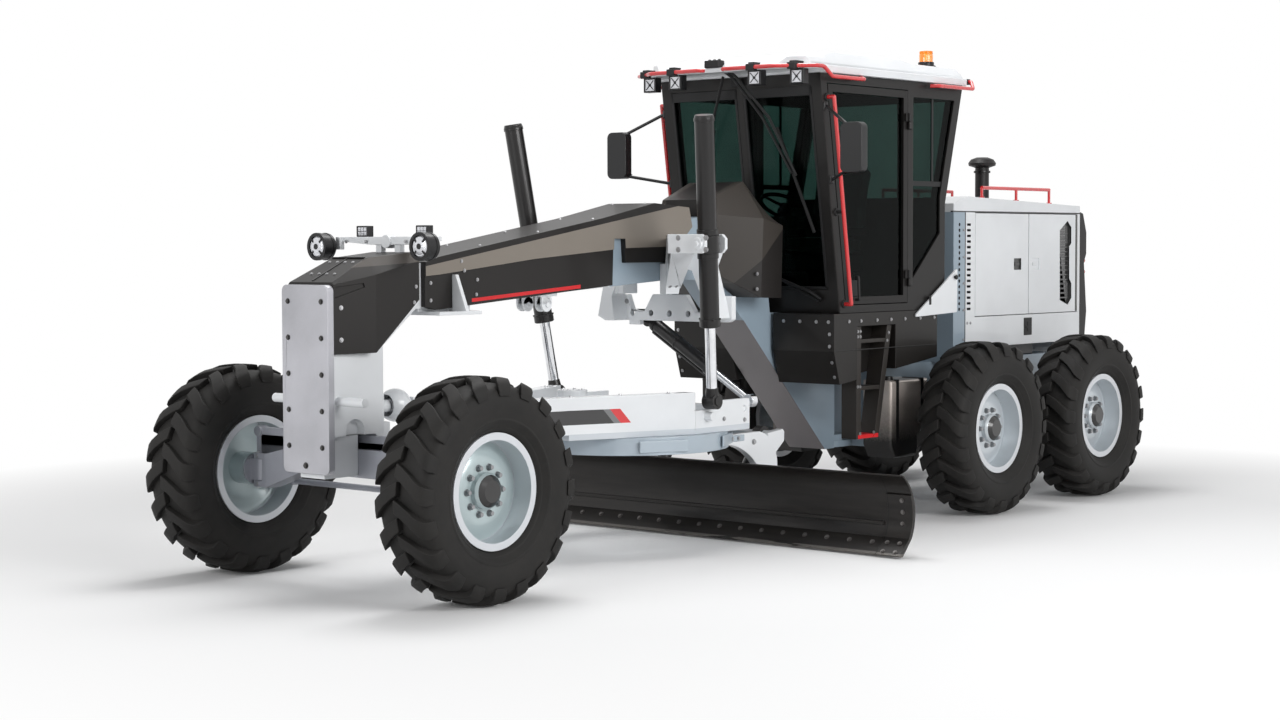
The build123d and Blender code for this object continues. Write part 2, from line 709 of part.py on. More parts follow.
def lift_barrel():
    start = LIFT_TOP
    end = lift_axis_point(LIFT_BARREL_END_Z)
    px, py, pz = lift_axis_point(LIFT_PIVOT_Z)
    pin = LIFT_BARREL_R + 30 + 30
    body = bar(start, end, LIFT_BARREL_R)
    body += bar(lift_axis_point(LIFT_PIVOT_Z + 60), lift_axis_point(LIFT_PIVOT_Z - 60), LIFT_BARREL_R + 14)
    body += bar((px - LIFT_BARREL_R - 30 + SEAT, py, pz), (px + LIFT_BARREL_R + 30 - SEAT, py, pz), 30)
    bore_start = along(start, end, 40)
    body -= bar(bore_start, along(start, end, 2000), LIFT_ROD_R + FIT)
    return body


def lift_rod():
    start = along(LIFT_TOP, LIFT_EYE, 470)
    body = bar(start, LIFT_EYE, LIFT_ROD_R)
    body += Pos(*LIFT_EYE) * Sphere(LIFT_EYE_R)
    return body


# Centre shift cylinder

def shift_points():
    head = (SHIFT_X, *SHIFT_HEAD)
    eye = (SHIFT_X, *SHIFT_EYE)
    return head, eye


def shift_barrel():
    head, eye = shift_points()
    body = bar(along(head, eye, 40), along(head, eye, SHIFT_BARREL_L), SHIFT_BARREL_R)
    body += bar((SHIFT_X - 35, *SHIFT_HEAD), (SHIFT_X + 35, *SHIFT_HEAD), 50)
    body += bar((SHIFT_X - 35, *SHIFT_HEAD), (LINK_BAR_X0 - SEAT, *SHIFT_HEAD), 24)
    body -= bar(along(head, eye, 80), along(head, eye, 2000), SHIFT_ROD_R + FIT)
    return body


def shift_rod():
    head, eye = shift_points()
    body = bar(along(head, eye, 380), eye, SHIFT_ROD_R)
    body += bar((SHIFT_X - 30, *SHIFT_EYE), (SHIFT_X + 30, *SHIFT_EYE), 48)
    return body


# Drawbar and circle

def drawbar_ball():
    return Pos(BALL_X, 0, BALL_Z) * Sphere(BALL_R)


def drawbar():
    low = DRAWBAR_Z0
    plate_top = low + DRAWBAR_PLATE_T
    socket = Pos(BALL_X, 0, BALL_Z) * Sphere(SOCKET_R)
    socket -= Pos(BALL_X, 0, BALL_Z) * Sphere(BALL_R + SEAT)
    socket -= bar((BALL_X, 0, BALL_Z), (BALL_X + SOCKET_R + 10, 0, BALL_Z), BALL_R * 0.98)
    tip_x = BALL_X - BALL_R - 20
    wide_x = 1290
    mid_x = 2200
    half = DRAWBAR_HALF_W
    rail = [
        (tip_x, -70), (tip_x, 70), (mid_x, 330), (wide_x, half), (wide_x, half - RAIL_W),
        (mid_x, 330 - RAIL_W), (tip_x - 500, 20), (tip_x - 500, -20),
        (mid_x, -330 + RAIL_W), (wide_x, -half + RAIL_W), (wide_x, -half), (mid_x, -330),
    ]
    top = DRAWBAR_TOP_Z
    body = plan_prism(rail, plate_top - 5, top)
    tongue = [(tip_x, top + 60), (tip_x, BALL_Z - 75), (tip_x - 500, plate_top), (tip_x - 500, top)]
    body += side_prism(tongue, -70, 70)
    body += socket
    yoke = [
        (mid_x, -330), (mid_x, 330), (wide_x, half), (DRAWBAR_END_X, half),
        (DRAWBAR_END_X, -half), (wide_x, -half),
    ]
    body += plan_prism(yoke, low, plate_top)
    body -= Pos(CIRCLE_X, 0, low) * Cylinder(CIRCLE_INNER_R - 130, 400)
    for side in (1, -1):
        y0 = side * (half - 40)
        y1 = side * half
        body += block(DRAWBAR_END_X, wide_x + 5, y0, y1, plate_top - 5, NOTCH_Z)
        body += block(DRAWBAR_END_X, 1010, y0, y1, NOTCH_Z, BRACKET_TOP_Z)
        body -= bar((DRAWBAR_END_X + 60, y0 - side, 960), (DRAWBAR_END_X + 60, y1 + side, 960), 22)
        body += bar((LIFT_EYE[0], y1, 930), (LIFT_EYE[0], y1 + side * 60, 930), 30)
    body += block(DRAWBAR_END_X, DRAWBAR_END_X + 90, -half + 10, half - 10, plate_top - 5, NOTCH_Z)
    body += block(wide_x - 90, wide_x, -half + 10, -500, plate_top - 5, NOTCH_Z)
    body += block(wide_x - 90, wide_x, 500, half - 10, plate_top - 5, NOTCH_Z)
    drive_x = CIRCLE_X + CIRCLE_INNER_R - 60
    body += Pos(drive_x, 0, (low + DRIVE_TOP_Z) / 2) * Cylinder(DRIVE_R, DRIVE_TOP_Z - low)
    return body


def circle():
    """The turning ring, toothed inside, with two curved arms down to the blade's cross shaft."""
    z_mid = (CIRCLE_Z0 + CIRCLE_Z1) / 2
    height = CIRCLE_Z1 - CIRCLE_Z0
    body = Pos(CIRCLE_X, 0, z_mid) * Cylinder(CIRCLE_R, height)
    y0 = CIRCLE_ARM_Y - CIRCLE_ARM_T / 2
    y1 = CIRCLE_ARM_Y + CIRCLE_ARM_T / 2
    top = CIRCLE_ARM_TOP_Z
    outer = ThreePointArc((430, y0, top), (275, y0, 680), (215, y0, 504))
    foot = Polyline(
        (215, y0, 504), (250, y0, 330), (TIP_X - 70, y0, TIP_Z - 50), (TIP_X + 40, y0, TIP_Z - 60),
        (TIP_X + 40, y0, TIP_Z + 20), (420, y0, 480),
    )
    inner = ThreePointArc((420, y0, 480), (570, y0, 620), (830, y0, CIRCLE_Z0 + 10))
    root = Polyline((830, y0, CIRCLE_Z0 + 10), (830, y0, top), (430, y0, top))
    arm = extrude(make_face([outer, *foot.edges(), inner, *root.edges()]), amount=CIRCLE_ARM_T, dir=(0, 1, 0))
    arm += side_prism([(150, 770), (130, 750), (135, 680), (240, 600), (330, 700), (330, 750)], y0, y1)
    arm += block(430, 900, 380, y1, CIRCLE_Z0 + 20, top)
    body += arm
    body += mirrored(arm)
    body -= Pos(CIRCLE_X, 0, CIRCLE_Z0 - 10) * gear_space(height + 20)
    for x, z, r in ((TIP_X, TIP_Z, TIP_PIN_R), (TIP_BASE_X, TIP_BASE_Z, 35)):
        body += bar((x, -CIRCLE_ARM_Y, z), (x, CIRCLE_ARM_Y, z), r)
    return body


def gear_space(height):
    """The space inside the ring, bounded by its teeth. Columns below: share of the tooth's pitch, radius."""
    tip_r = CIRCLE_INNER_R - GEAR_DEPTH
    points = []
    for i in range(GEAR_TEETH):
        for share, r in ((0, CIRCLE_INNER_R), (0.38, CIRCLE_INNER_R), (0.55, tip_r), (0.83, tip_r)):
            turn = radians(360 * (i + share) / GEAR_TEETH)
            points.append((r * cos(turn), r * sin(turn)))
    return plan_prism(points, 0, height)


# Blade with its carrier

def blade_carrier():
    """Four brackets hinged on the lower cross shaft, with the clasps of the blade's slide rails."""
    bracket = [
        (TIP_X - 45, TIP_Z - 45), (470, TIP_Z - 45), (470, RAIL_HIGH_Z + 60), (TIP_EYE_X + 20, RAIL_HIGH_Z + 60),
        (TIP_EYE_X - 35, TIP_EYE_Z + 25), (TIP_EYE_X - 35, TIP_EYE_Z - 40), (TIP_X - 45, TIP_Z + 60),
    ]
    body = block(440, 470, -500, 500, RAIL_LOW_Z - 60, RAIL_HIGH_Z + 60)
    for y in (-480, -320, 320, 480):
        body += side_prism(bracket, y - 20, y + 20)
    body -= bar((TIP_X, -600, TIP_Z), (TIP_X, 600, TIP_Z), TIP_PIN_R + FIT)
    for z in (RAIL_LOW_Z, RAIL_HIGH_Z):
        for y in (-420, 420):
            for dz in (-1, 1):
                edge = z + dz * (RAIL_H / 2 + SEAT)
                body += block(465, 505, y - 90, y + 90, edge, edge + dz * 16)
    rod_z = (RAIL_LOW_Z + RAIL_HIGH_Z) / 2
    body += bar((SHIFT_ROD_X, -450, rod_z), (SHIFT_ROD_X, 450, rod_z), 36)
    body -= bar((SHIFT_ROD_X, -510, rod_z), (SHIFT_ROD_X, 510, rod_z), SIDE_ROD_R + FIT)
    return body


def moldboard():
    face_x, face_z = BLADE_TOP
    joint_x, joint_z = BLADE_JOINT
    front = ThreePointArc((face_x, -BLADE_HALF_L, face_z), (BLADE_BACK[0], -BLADE_HALF_L, BLADE_BACK[1]),
                          (joint_x, -BLADE_HALF_L, joint_z))
    rear_back = (BLADE_BACK[0] - BLADE_T, -BLADE_HALF_L, BLADE_BACK[1])
    rear = ThreePointArc((face_x - BLADE_T, -BLADE_HALF_L, face_z), rear_back,
                         (joint_x - BLADE_T, -BLADE_HALF_L, joint_z))
    top = Line(front @ 0, rear @ 0)
    low = Line(front @ 1, rear @ 1)
    section = make_face([front, rear, top, low])
    body = extrude(section, amount=2 * BLADE_HALF_L, dir=(0, 1, 0))
    for z in (RAIL_LOW_Z, RAIL_HIGH_Z):
        body += block(475, 475 + RAIL_D, -1750, 1750, z - RAIL_H / 2, z + RAIL_H / 2)
        body += block(520, 580, -1750, 1750, z - 12, z + 12)
    return body


def cutting_edge():
    jx, jz = BLADE_JOINT
    blade = [(jx, jz), (EDGE_X, EDGE_Z + 10), (EDGE_X - 4, EDGE_Z), (EDGE_X - 30, EDGE_Z), (jx - BLADE_T, jz)]
    body = side_prism(blade, -BLADE_HALF_L, BLADE_HALF_L)
    y0 = BLADE_HALF_L - END_BIT_L
    curves = []
    for x in (SEAT, SEAT + END_BIT_T):
        points = [(px + x, y0, pz) for px, pz in (BLADE_TOP, BLADE_BACK, BLADE_JOINT)]
        curves.append(ThreePointArc(*points))
    back, front = curves
    plate = extrude(make_face([back, Line(back @ 1, front @ 1), front, Line(front @ 0, back @ 0)]), amount=END_BIT_L,
                    dir=(0, 1, 0))
    plate &= block(0, 900, y0 - 1, BLADE_HALF_L + 1, jz - 1, END_BIT_Z)
    plate += side_prism([
        (jx + SEAT, jz), (jx + SEAT, jz + 2), (jx + SEAT + END_BIT_T, jz + 2), (EDGE_X + END_BIT_T, EDGE_Z + 10),
        (EDGE_X - 4, EDGE_Z + 4),
    ], y0, BLADE_HALF_L)
    return Compound(children=(body + plate + mirrored(plate)).solids())


def side_shift_rod():
    x = SHIFT_ROD_X
    z = (RAIL_LOW_Z + RAIL_HIGH_Z) / 2
    body = bar((x, -1600, z), (x, 1600, z), SIDE_ROD_R)
    for side in (1, -1):
        body += block(x - 30, BLADE_BACK[0] - BLADE_T - SEAT, side * 1600, side * 1640, z - 40, z + 40)
    return body


def tip_barrels():
    base = (TIP_BASE_X, TIP_CYL_Y, TIP_BASE_Z)
    eye = (TIP_EYE_X, TIP_CYL_Y, TIP_EYE_Z)
    x, y, z = base
    body = bar(along(base, eye, 64), along(base, eye, TIP_BARREL_L), TIP_BARREL_R)
    body += bar((x, y - 35, z), (x, y + 35, z), 66)
    body -= bar((x, y - 40, z), (x, y + 40, z), 35 + FIT)
    body -= bar(along(base, eye, 80), along(base, eye, 400), TIP_ROD_R + FIT)
    return pair(body)


def tip_rods():
    base = (TIP_BASE_X, TIP_CYL_Y, TIP_BASE_Z)
    eye = (TIP_EYE_X, TIP_CYL_Y, TIP_EYE_Z)
    x, y, z = eye
    reach = (Vector(*eye) - Vector(*base)).length
    body = bar(along(base, eye, 110), along(base, eye, reach - 20), TIP_ROD_R)
    body += bar((x, y - 25, z), (x, y + 25, z), 44)
    body += bar((x, y - TIP_PIN_HALF_L, z), (x, y + TIP_PIN_HALF_L, z), TIP_EYE_R)
    return pair(body)


# Cab

def cab_outline():
    return [
        (CAB_FRONT_LOW_X, CAB_FLOOR_Z), (CAB_FRONT_HIGH_X, CAB_TOP_Z), (CAB_REAR_HIGH_X, CAB_TOP_Z),
        (CAB_REAR_X, CAB_REAR_KINK_Z), (CAB_REAR_X, CAB_FLOOR_Z),
    ]


def front_x(z):
    """The x of the cab's front face at this height."""
    share = (z - CAB_FLOOR_Z) / (CAB_TOP_Z - CAB_FLOOR_Z)
    return CAB_FRONT_LOW_X + share * (CAB_FRONT_HIGH_X - CAB_FRONT_LOW_X)


def rear_x(z):
    """The x of the cab's rear face at this height."""
    if z < CAB_REAR_KINK_Z:
        return CAB_REAR_X
    share = (z - CAB_REAR_KINK_Z) / (CAB_TOP_Z - CAB_REAR_KINK_Z)
    return CAB_REAR_X + share * (CAB_REAR_HIGH_X - CAB_REAR_X)


def door_outline(margin):
    z0 = CAB_FLOOR_Z + CAB_WALL + margin
    z1 = CAB_TOP_Z - 70 - margin
    pillar = PILLAR_W + margin
    return [
        (front_x(z0) - pillar, z0), (front_x(z1) - pillar, z1),
        (DOOR_REAR_X + margin, z1), (DOOR_REAR_X + margin, z0),
    ]


def rear_window_outline(margin):
    z0 = 2480 + margin
    z1 = CAB_TOP_Z - 120 - margin
    low = 1850 + margin
    x0 = DOOR_REAR_X - 75 - margin
    return [
        (x0, low), (x0, z1), (rear_x(z1) + 90 + margin, z1), (rear_x(z0) + 90 + margin, z0),
        (rear_x(z0) + 90 + margin, low + 350),
    ]


def cab_frame():
    inner = [
        (front_x(CAB_FLOOR_Z) - CAB_WALL, CAB_FLOOR_Z + CAB_WALL), (CAB_FRONT_HIGH_X - CAB_WALL, CAB_TOP_Z + 1),
        (CAB_REAR_HIGH_X + CAB_WALL, CAB_TOP_Z + 1), (CAB_REAR_X + CAB_WALL, CAB_REAR_KINK_Z),
        (CAB_REAR_X + CAB_WALL, CAB_FLOOR_Z + CAB_WALL),
    ]
    w = CAB_HALF_W
    body = side_prism(cab_outline(), -w, w)
    body -= side_prism(inner, -w + CAB_WALL, w - CAB_WALL)
    body -= side_prism(door_outline(0), -w - 1, w + 1)
    body -= side_prism(rear_window_outline(0), -w - 1, w + 1)
    for side in (1, -1):
        y0 = side * 30
        y1 = side * (w - 90)
        body -= block(front_x(1700) - 200, 100, y0, y1, 1780, CAB_TOP_Z - 90)
    body -= block(CAB_REAR_HIGH_X - 50, CAB_REAR_X + CAB_WALL + 10, -w + 110, w - 110, 2480, CAB_TOP_Z - 120)
    for z in HINGE_Z:
        for side in (1, -1):
            low = z - SEAT - HINGE_H
            body += Pos(DOOR_REAR_X, side * (w + HINGE_R), low + HINGE_H / 2) * Cylinder(HINGE_R, HINGE_H)
            body += block(DOOR_REAR_X - 50, DOOR_REAR_X, side * (w - 1), side * (w + HINGE_R), low, low + HINGE_H)
    return body


def cab_glass():
    w = CAB_HALF_W
    solids = []
    for side in (1, -1):
        z0 = 1780 + SEAT
        z1 = CAB_TOP_Z - 90 - SEAT
        inset = 20
        pane = [
            (front_x(z0) - inset, z0), (front_x(z1) - inset, z1),
            (front_x(z1) - inset - GLASS_T, z1), (front_x(z0) - inset - GLASS_T, z0),
        ]
        solids.append(side_prism(pane, side * (30 + SEAT), side * (w - 90 - SEAT)))
        y0 = side * (w - 25)
        solids.append(side_prism(rear_window_outline(SEAT), y0, y0 + side * GLASS_T))
    z0 = 2480 + SEAT
    z1 = CAB_TOP_Z - 120 - SEAT
    pane = [
        (rear_x(z0) + 20, z0), (rear_x(z1) + 20, z1), (rear_x(z1) + 20 + GLASS_T, z1), (rear_x(z0) + 20 + GLASS_T, z0),
    ]
    solids.append(side_prism(pane, -w + 110 + SEAT, w - 110 - SEAT))
    return Compound(children=[s for solid in solids for s in solid.solids()])


def cab_door():
    w = CAB_HALF_W
    frame = side_prism(door_outline(GAP), w - CAB_WALL, w)
    opening = door_outline(GAP + DOOR_FRAME_W)
    frame -= side_prism(opening, w - CAB_WALL - 1, w + 1)
    for z in HINGE_Z:
        frame += Pos(DOOR_REAR_X, w + HINGE_R, z + HINGE_H / 2) * Cylinder(HINGE_R, HINGE_H)
        frame += block(DOOR_REAR_X, DOOR_REAR_X + 50, w - 1, w + HINGE_R, z, z + HINGE_H)
    pane = side_prism(door_outline(GAP + DOOR_FRAME_W + SEAT), w - 30, w - 30 + GLASS_T)
    return Compound(children=frame.solids() + pane.solids())


def cab_roof():
    """A slab with a thin front lip, and a raised crown that drops behind the driver."""
    half = ROOF_HALF_W
    plan = [
        (ROOF_REAR_X, -half + 60), (ROOF_REAR_X, half - 60), (ROOF_REAR_X + 80, half),
        (ROOF_FRONT_X - ROOF_CORNER_X, half), (ROOF_FRONT_X, half - ROOF_CORNER_Y),
        (ROOF_FRONT_X, -half + ROOF_CORNER_Y), (ROOF_FRONT_X - ROOF_CORNER_X, -half), (ROOF_REAR_X + 80, -half),
    ]
    body = plan_prism(plan, CAB_TOP_Z, ROOF_LIP_Z + ROOF_LIP_T)
    body -= block(CAB_FRONT_HIGH_X + SEAT, ROOF_FRONT_X + 1, -half - 1, half + 1, CAB_TOP_Z - 1, ROOF_LIP_Z)
    top = ROOF_TOP_Z
    lip = ROOF_LIP_Z + ROOF_LIP_T - 1
    crown = side_prism([
        (ROOF_REAR_X + 30, lip), (ROOF_REAR_X + 90, top), (-1360, top), (-1215, top + ROOF_CROWN), (-250, top + ROOF_CROWN),
        (-150, top - 18), (ROOF_FRONT_X - 90, top - 26), (ROOF_FRONT_X - 30, lip),
    ], -half + 60, half - 60)
    corner = ROOF_CORNER_Y + 40
    trim = plan_prism([
        (ROOF_REAR_X, half), (ROOF_REAR_X, -half), (ROOF_FRONT_X - ROOF_CORNER_X - 40, -half + 60),
        (ROOF_FRONT_X, -half + corner), (ROOF_FRONT_X, half - corner), (ROOF_FRONT_X - ROOF_CORNER_X - 40, half - 60),
    ], lip, top + ROOF_CROWN + 1)
    crown = crown & trim
    for side in (1, -1):
        slope = front_prism([
            (side * (half - 59), lip + 20), (side * (half - 59), top + 60), (side * (half - 140), top + 60),
        ], ROOF_REAR_X, ROOF_FRONT_X)
        crown -= slope
    for y in (-420, -140, 140, 420):
        crown -= block(-1150, -330, y - 12, y + 12, top + ROOF_CROWN - 10, top + ROOF_CROWN + 1)
    return body + crown


def cab_interior():
    floor = CAB_FLOOR_Z + CAB_WALL
    seat = block(-1350, -1050, -180, 180, floor, floor + 380)
    seat += block(-1400, -900, -250, 250, floor + 380, floor + 500)
    seat += side_prism([(-1400, floor + 500), (-1280, floor + 500), (-1400, floor + 1150), (-1500, floor + 1150)], -240, 240)
    column = side_prism([(-560, floor), (-440, floor), (-620, floor + 700), (-680, floor + 700)], -60, 60)
    wheel_plane = Plane(origin=(-655, 0, floor + 740), z_dir=(-0.5, 0, 0.86))
    steering = wheel_plane * (Torus(190, 16) + Cylinder(14, 100))
    steering += wheel_plane * Box(380, 30, 14)
    return Compound(children=seat.solids() + (column + steering).solids())


def skirt():
    outline = [
        (SKIRT_FRONT_X, CAB_FLOOR_Z - SEAT), (SKIRT_FRONT_X, SKIRT_KINK_Z), (SKIRT_LOW_X, SKIRT_LOW_Z),
        (SKIRT_REAR_X, SKIRT_REAR_Z), (SKIRT_REAR_X, CAB_FLOOR_Z - SEAT),
    ]
    body = side_prism(outline, SKIRT_INNER_Y, SKIRT_HALF_W)
    body -= block(SKIRT_REAR_X - 1, -1000, SKIRT_INNER_Y - 1, SKIRT_REAR_INNER_Y, 1000, CAB_FLOOR_Z)
    body -= block(LADDER_TOP_REAR_X - 20, LADDER_FRONT_X + 20, LADDER_Y0 - SEAT, SKIRT_HALF_W + 1, 900, LADDER_TOP_Z)
    return pair(body)


def rear_panels():
    """The three-cornered panel below the cab's rear corner on each side."""
    y = SKIRT_HALF_W + SEAT
    panel = side_prism([(-1277, 1549), (-1905, 1921), (-1901, 1572)], y, y + REAR_PANEL_T)
    edges = panel.edges().filter_by(Axis.Y)
    return pair(fillet(edges, 12))


def ladders():
    front = block(LADDER_FRONT_X - STRINGER_W, LADDER_FRONT_X, LADDER_Y0, LADDER_Y1, LADDER_LOW_Z, LADDER_TOP_Z - SEAT)
    rear = side_prism([
        (LADDER_TOP_REAR_X, LADDER_TOP_Z - SEAT), (LADDER_TOP_REAR_X + STRINGER_W, LADDER_TOP_Z - SEAT),
        (LADDER_LOW_REAR_X + STRINGER_W, LADDER_LOW_Z), (LADDER_LOW_REAR_X, LADDER_LOW_Z),
    ], LADDER_Y0, LADDER_Y1)
    body = front + rear
    for z in TREAD_Z:
        share = (LADDER_TOP_Z - z) / (LADDER_TOP_Z - LADDER_LOW_Z)
        x = LADDER_TOP_REAR_X + share * (LADDER_LOW_REAR_X - LADDER_TOP_REAR_X)
        body += block(x + 20, LADDER_FRONT_X - 20, LADDER_Y0 + 10, LADDER_Y1 - 10, z - TREAD_T, z)
    return pair(body)


def mirrors():
    body = block(-25, 50, 1010, 1200, 2625, 2985)
    body = fillet(body.edges().filter_by(Axis.X), 45)
    side_y = CAB_HALF_W + SEAT
    for z, tip_z in ((3119, 2960), (2586, 2650)):
        x = front_x(z) - 24
        body += block(x - 22, x + 22, side_y, side_y + 16, z - 30, z + 30)
        body += bar((x, side_y + 14, z), (10, 1060, tip_z), 12)
    return pair(body)


def grab_rails():
    low_z = 1670
    top_z = 3186
    y = CAB_HALF_W + 64
    points = [(front_x(z) - 62, y, z) for z in (low_z, top_z)]
    body = bar(*points, 15)
    for x, _, z in points:
        body += bar((x, CAB_HALF_W + SEAT, z), (x, y, z), 15)
        body += Pos(x, y, z) * Sphere(15)
    return pair(body)


# Rear frame and running gear

def rear_frame():
    bulkhead_rear = BULKHEAD_X - BULKHEAD_T
    low = HITCH_LOW_Z - SEAT - HITCH_T
    high = HITCH_TOP_Z + 2 * HITCH_T + SEAT
    body = block(bulkhead_rear, BULKHEAD_X, -RAIL_Y1, RAIL_Y1, low, REAR_RAIL_Z1)
    body += block(bulkhead_rear, BULKHEAD_X, -BULKHEAD_UPPER_Y, BULKHEAD_UPPER_Y, REAR_RAIL_Z1 - 1, high)
    for z in (low, high - HITCH_T):
        body += block(BULKHEAD_X - 10, PIVOT_X, -HITCH_R, HITCH_R, z, z + HITCH_T)
        body += Pos(PIVOT_X, 0, z + HITCH_T / 2) * Cylinder(HITCH_R, HITCH_T)
    for z0, z1 in ((low, HITCH_LOW_Z + HITCH_T), (HITCH_TOP_Z, high)):
        body += Pos(PIVOT_X, 0, (z0 + z1) / 2) * Cylinder(HITCH_PIN_R, z1 - z0)
    for side in (1, -1):
        body += block(REAR_END_X, BULKHEAD_X - 10, side * RAIL_Y0, side * RAIL_Y1, REAR_RAIL_Z0, REAR_RAIL_Z1)
        body += bar((TANDEM_X, 0, TYRE_R), (TANDEM_X, side * TANDEM_Y0, TYRE_R), AXLE_HOUSING_R)
        body += block(TANDEM_X - 200, TANDEM_X + 200, side * RAIL_Y0, side * RAIL_Y1, TYRE_R, REAR_RAIL_Z0 + 10)
    for x in (BULKHEAD_X - 700, REAR_END_X + 40):
        body += block(x - 40, x + 40, -RAIL_Y1, RAIL_Y1, REAR_RAIL_Z0, REAR_RAIL_Z1)
    return body


def tandem_cases():
    half = TANDEM_SPACING / 2
    body = block(TANDEM_X - half, TANDEM_X + half, TANDEM_Y0, TANDEM_Y1, TYRE_R - TANDEM_R, TYRE_R + TANDEM_R)
    for x in (TANDEM_X - half, TANDEM_X + half):
        body += bar((x, TANDEM_Y0, TYRE_R), (x, TANDEM_Y1, TYRE_R), TANDEM_R)
        body += bar((x, TANDEM_Y1, TYRE_R), (x, TANDEM_Y1 + SPINDLE_L, TYRE_R), SPINDLE_R)
    return pair(body)


def side_tanks():
    """A tank on each side of the hitch, tapering downwards, its edges rounded."""
    outline = [
        (TANK_X1, TANK_Z1), (TANK_X1, TANK_Z0 + 104), (TANK_X1 - 64, TANK_Z0), (TANK_X0 + 158, TANK_Z0),
        (TANK_X0 + 90, TANK_Z0 + 200), (TANK_X0, TANK_Z0 + 460), (TANK_X0, TANK_Z1),
    ]
    body = side_prism(outline, RAIL_Y1 + SEAT, TANK_Y1)
    body = fillet(body.faces().sort_by(Axis.Y)[-1].edges(), 30)
    return pair(body)


def engine_block():
    return block(ENGINE_X0, ENGINE_X1, -ENGINE_HALF_W, ENGINE_HALF_W, REAR_RAIL_Z1 + SEAT, ENGINE_TOP_Z)


def bonnet():
    w = BONNET_HALF_W
    t = BONNET_WALL
    outer = [
        (BONNET_FRONT_X, BONNET_Z0), (BONNET_FRONT_X, BONNET_TOP_Z - 60), (BONNET_FRONT_X - 200, BONNET_TOP_Z),
        (BONNET_REAR_X, BONNET_TOP_REAR_Z), (BONNET_REAR_X, BONNET_Z0),
    ]
    inner = [
        (BONNET_FRONT_X - t, BONNET_Z0 - 1), (BONNET_FRONT_X - t, BONNET_TOP_Z - 60 - t),
        (BONNET_FRONT_X - 200, BONNET_TOP_Z - t), (BONNET_REAR_X + t, BONNET_TOP_REAR_Z - t),
        (BONNET_REAR_X + t, BONNET_Z0 - 1),
    ]
    body = side_prism(outer, -w, w)
    body -= side_prism(inner, -w + t, w - t)
    body -= block(BONNET_REAR_X + t, BONNET_DOOR_X1, -w - 1, w + 1, BONNET_DOOR_Z0, BONNET_SEAM_Z)
    for side in (1, -1):
        body += block(DOOR_SPLIT_X - 20, DOOR_SPLIT_X + 20, side * (w - t), side * (w - t - 30), BONNET_DOOR_Z0, BONNET_SEAM_Z)
    for x in (BONNET_FRONT_X - t, BONNET_REAR_X):
        body += block(x, x + t, -w, w, REAR_RAIL_Z1 + SEAT, BONNET_Z0 + 10)
    cuts = []
    slot_z = range(BONNET_DOOR_Z0 + 60, BONNET_SEAM_Z - 90, SLOT_PITCH)
    for side in (1, -1):
        for z in slot_z:
            x = BONNET_DOOR_X1 + 95
            cuts.append(block(x - 28, x + 28, side * (w - t - 1), side * (w + 1), z, z + SLOT_H))
            x = BONNET_FRONT_X - 90
            cuts.append(bar((x, side * (w - 12), z + SLOT_H / 2), (x, side * (w + 1), z + SLOT_H / 2), 13))
        x = BONNET_DOOR_X1 + 150
        cuts.append(block(x - 6, x + 6, side * (w - 8), side * (w + 1), BONNET_Z0 - 1, BONNET_SEAM_Z))
        cuts.append(block(BONNET_REAR_X - 1, BONNET_FRONT_X + 1, side * (w - 6), side * (w + 1), BONNET_SEAM_Z, BONNET_SEAM_Z + 10))
    return body - cuts


def bonnet_top_z(x):
    """The height of the bonnet's top at this x, behind its sloping front edge."""
    start = BONNET_FRONT_X - 200
    return BONNET_TOP_Z + (x - start) / (BONNET_REAR_X - start) * (BONNET_TOP_REAR_Z - BONNET_TOP_Z)


def bonnet_rails():
    y = BONNET_RAIL_Y
    body = None
    for x in (BONNET_RAIL_X0, (BONNET_RAIL_X0 + BONNET_RAIL_X1) / 2, BONNET_RAIL_X1):
        foot = bonnet_top_z(x) + 1
        post = bar((x, y, foot), (x, y, BONNET_RAIL_Z), 12) + Pos(x, y, foot + 4) * Cylinder(24, 8)
        body = post if body is None else body + post
    body += bar((BONNET_RAIL_X0, y, BONNET_RAIL_Z), (BONNET_RAIL_X1, y, BONNET_RAIL_Z), 15)
    return pair(body)


def bonnet_door(x0, x1):
    """A bonnet side door with a sunk latch; the rear one has the netted vent."""
    w = BONNET_HALF_W
    door = block(x0 + GAP, x1 - GAP, w - BONNET_WALL, w, BONNET_DOOR_Z0 + GAP, BONNET_SEAM_Z - GAP)
    latch_z = 1940
    latch_x = DOOR_SPLIT_X + 180 if x0 == DOOR_SPLIT_X else DOOR_SPLIT_X - 120
    door -= block(latch_x - 60, latch_x + 60, w - 14, w + 1, latch_z - 48, latch_z + 48)
    door += block(latch_x - 36, latch_x + 36, w - 15, w - 4, latch_z - 14, latch_z + 14)
    if x0 != DOOR_SPLIT_X:
        vent = [
            (-3954, 2225), (-4088, 2308), (-4156, 2253), (-4158, 2115), (-4121, 2087), (-4126, 1802), (-4163, 1764),
            (-4165, 1635), (-4099, 1577), (-3962, 1621),
        ]
        door -= side_prism(vent, w - 22, w + 1)
        for i in range(VENT_BARS):
            z = 1640 + i * (2200 - 1640) / (VENT_BARS - 1)
            door += block(-4110, -3965, w - 23, w - 8, z - 4, z + 4)
    return door


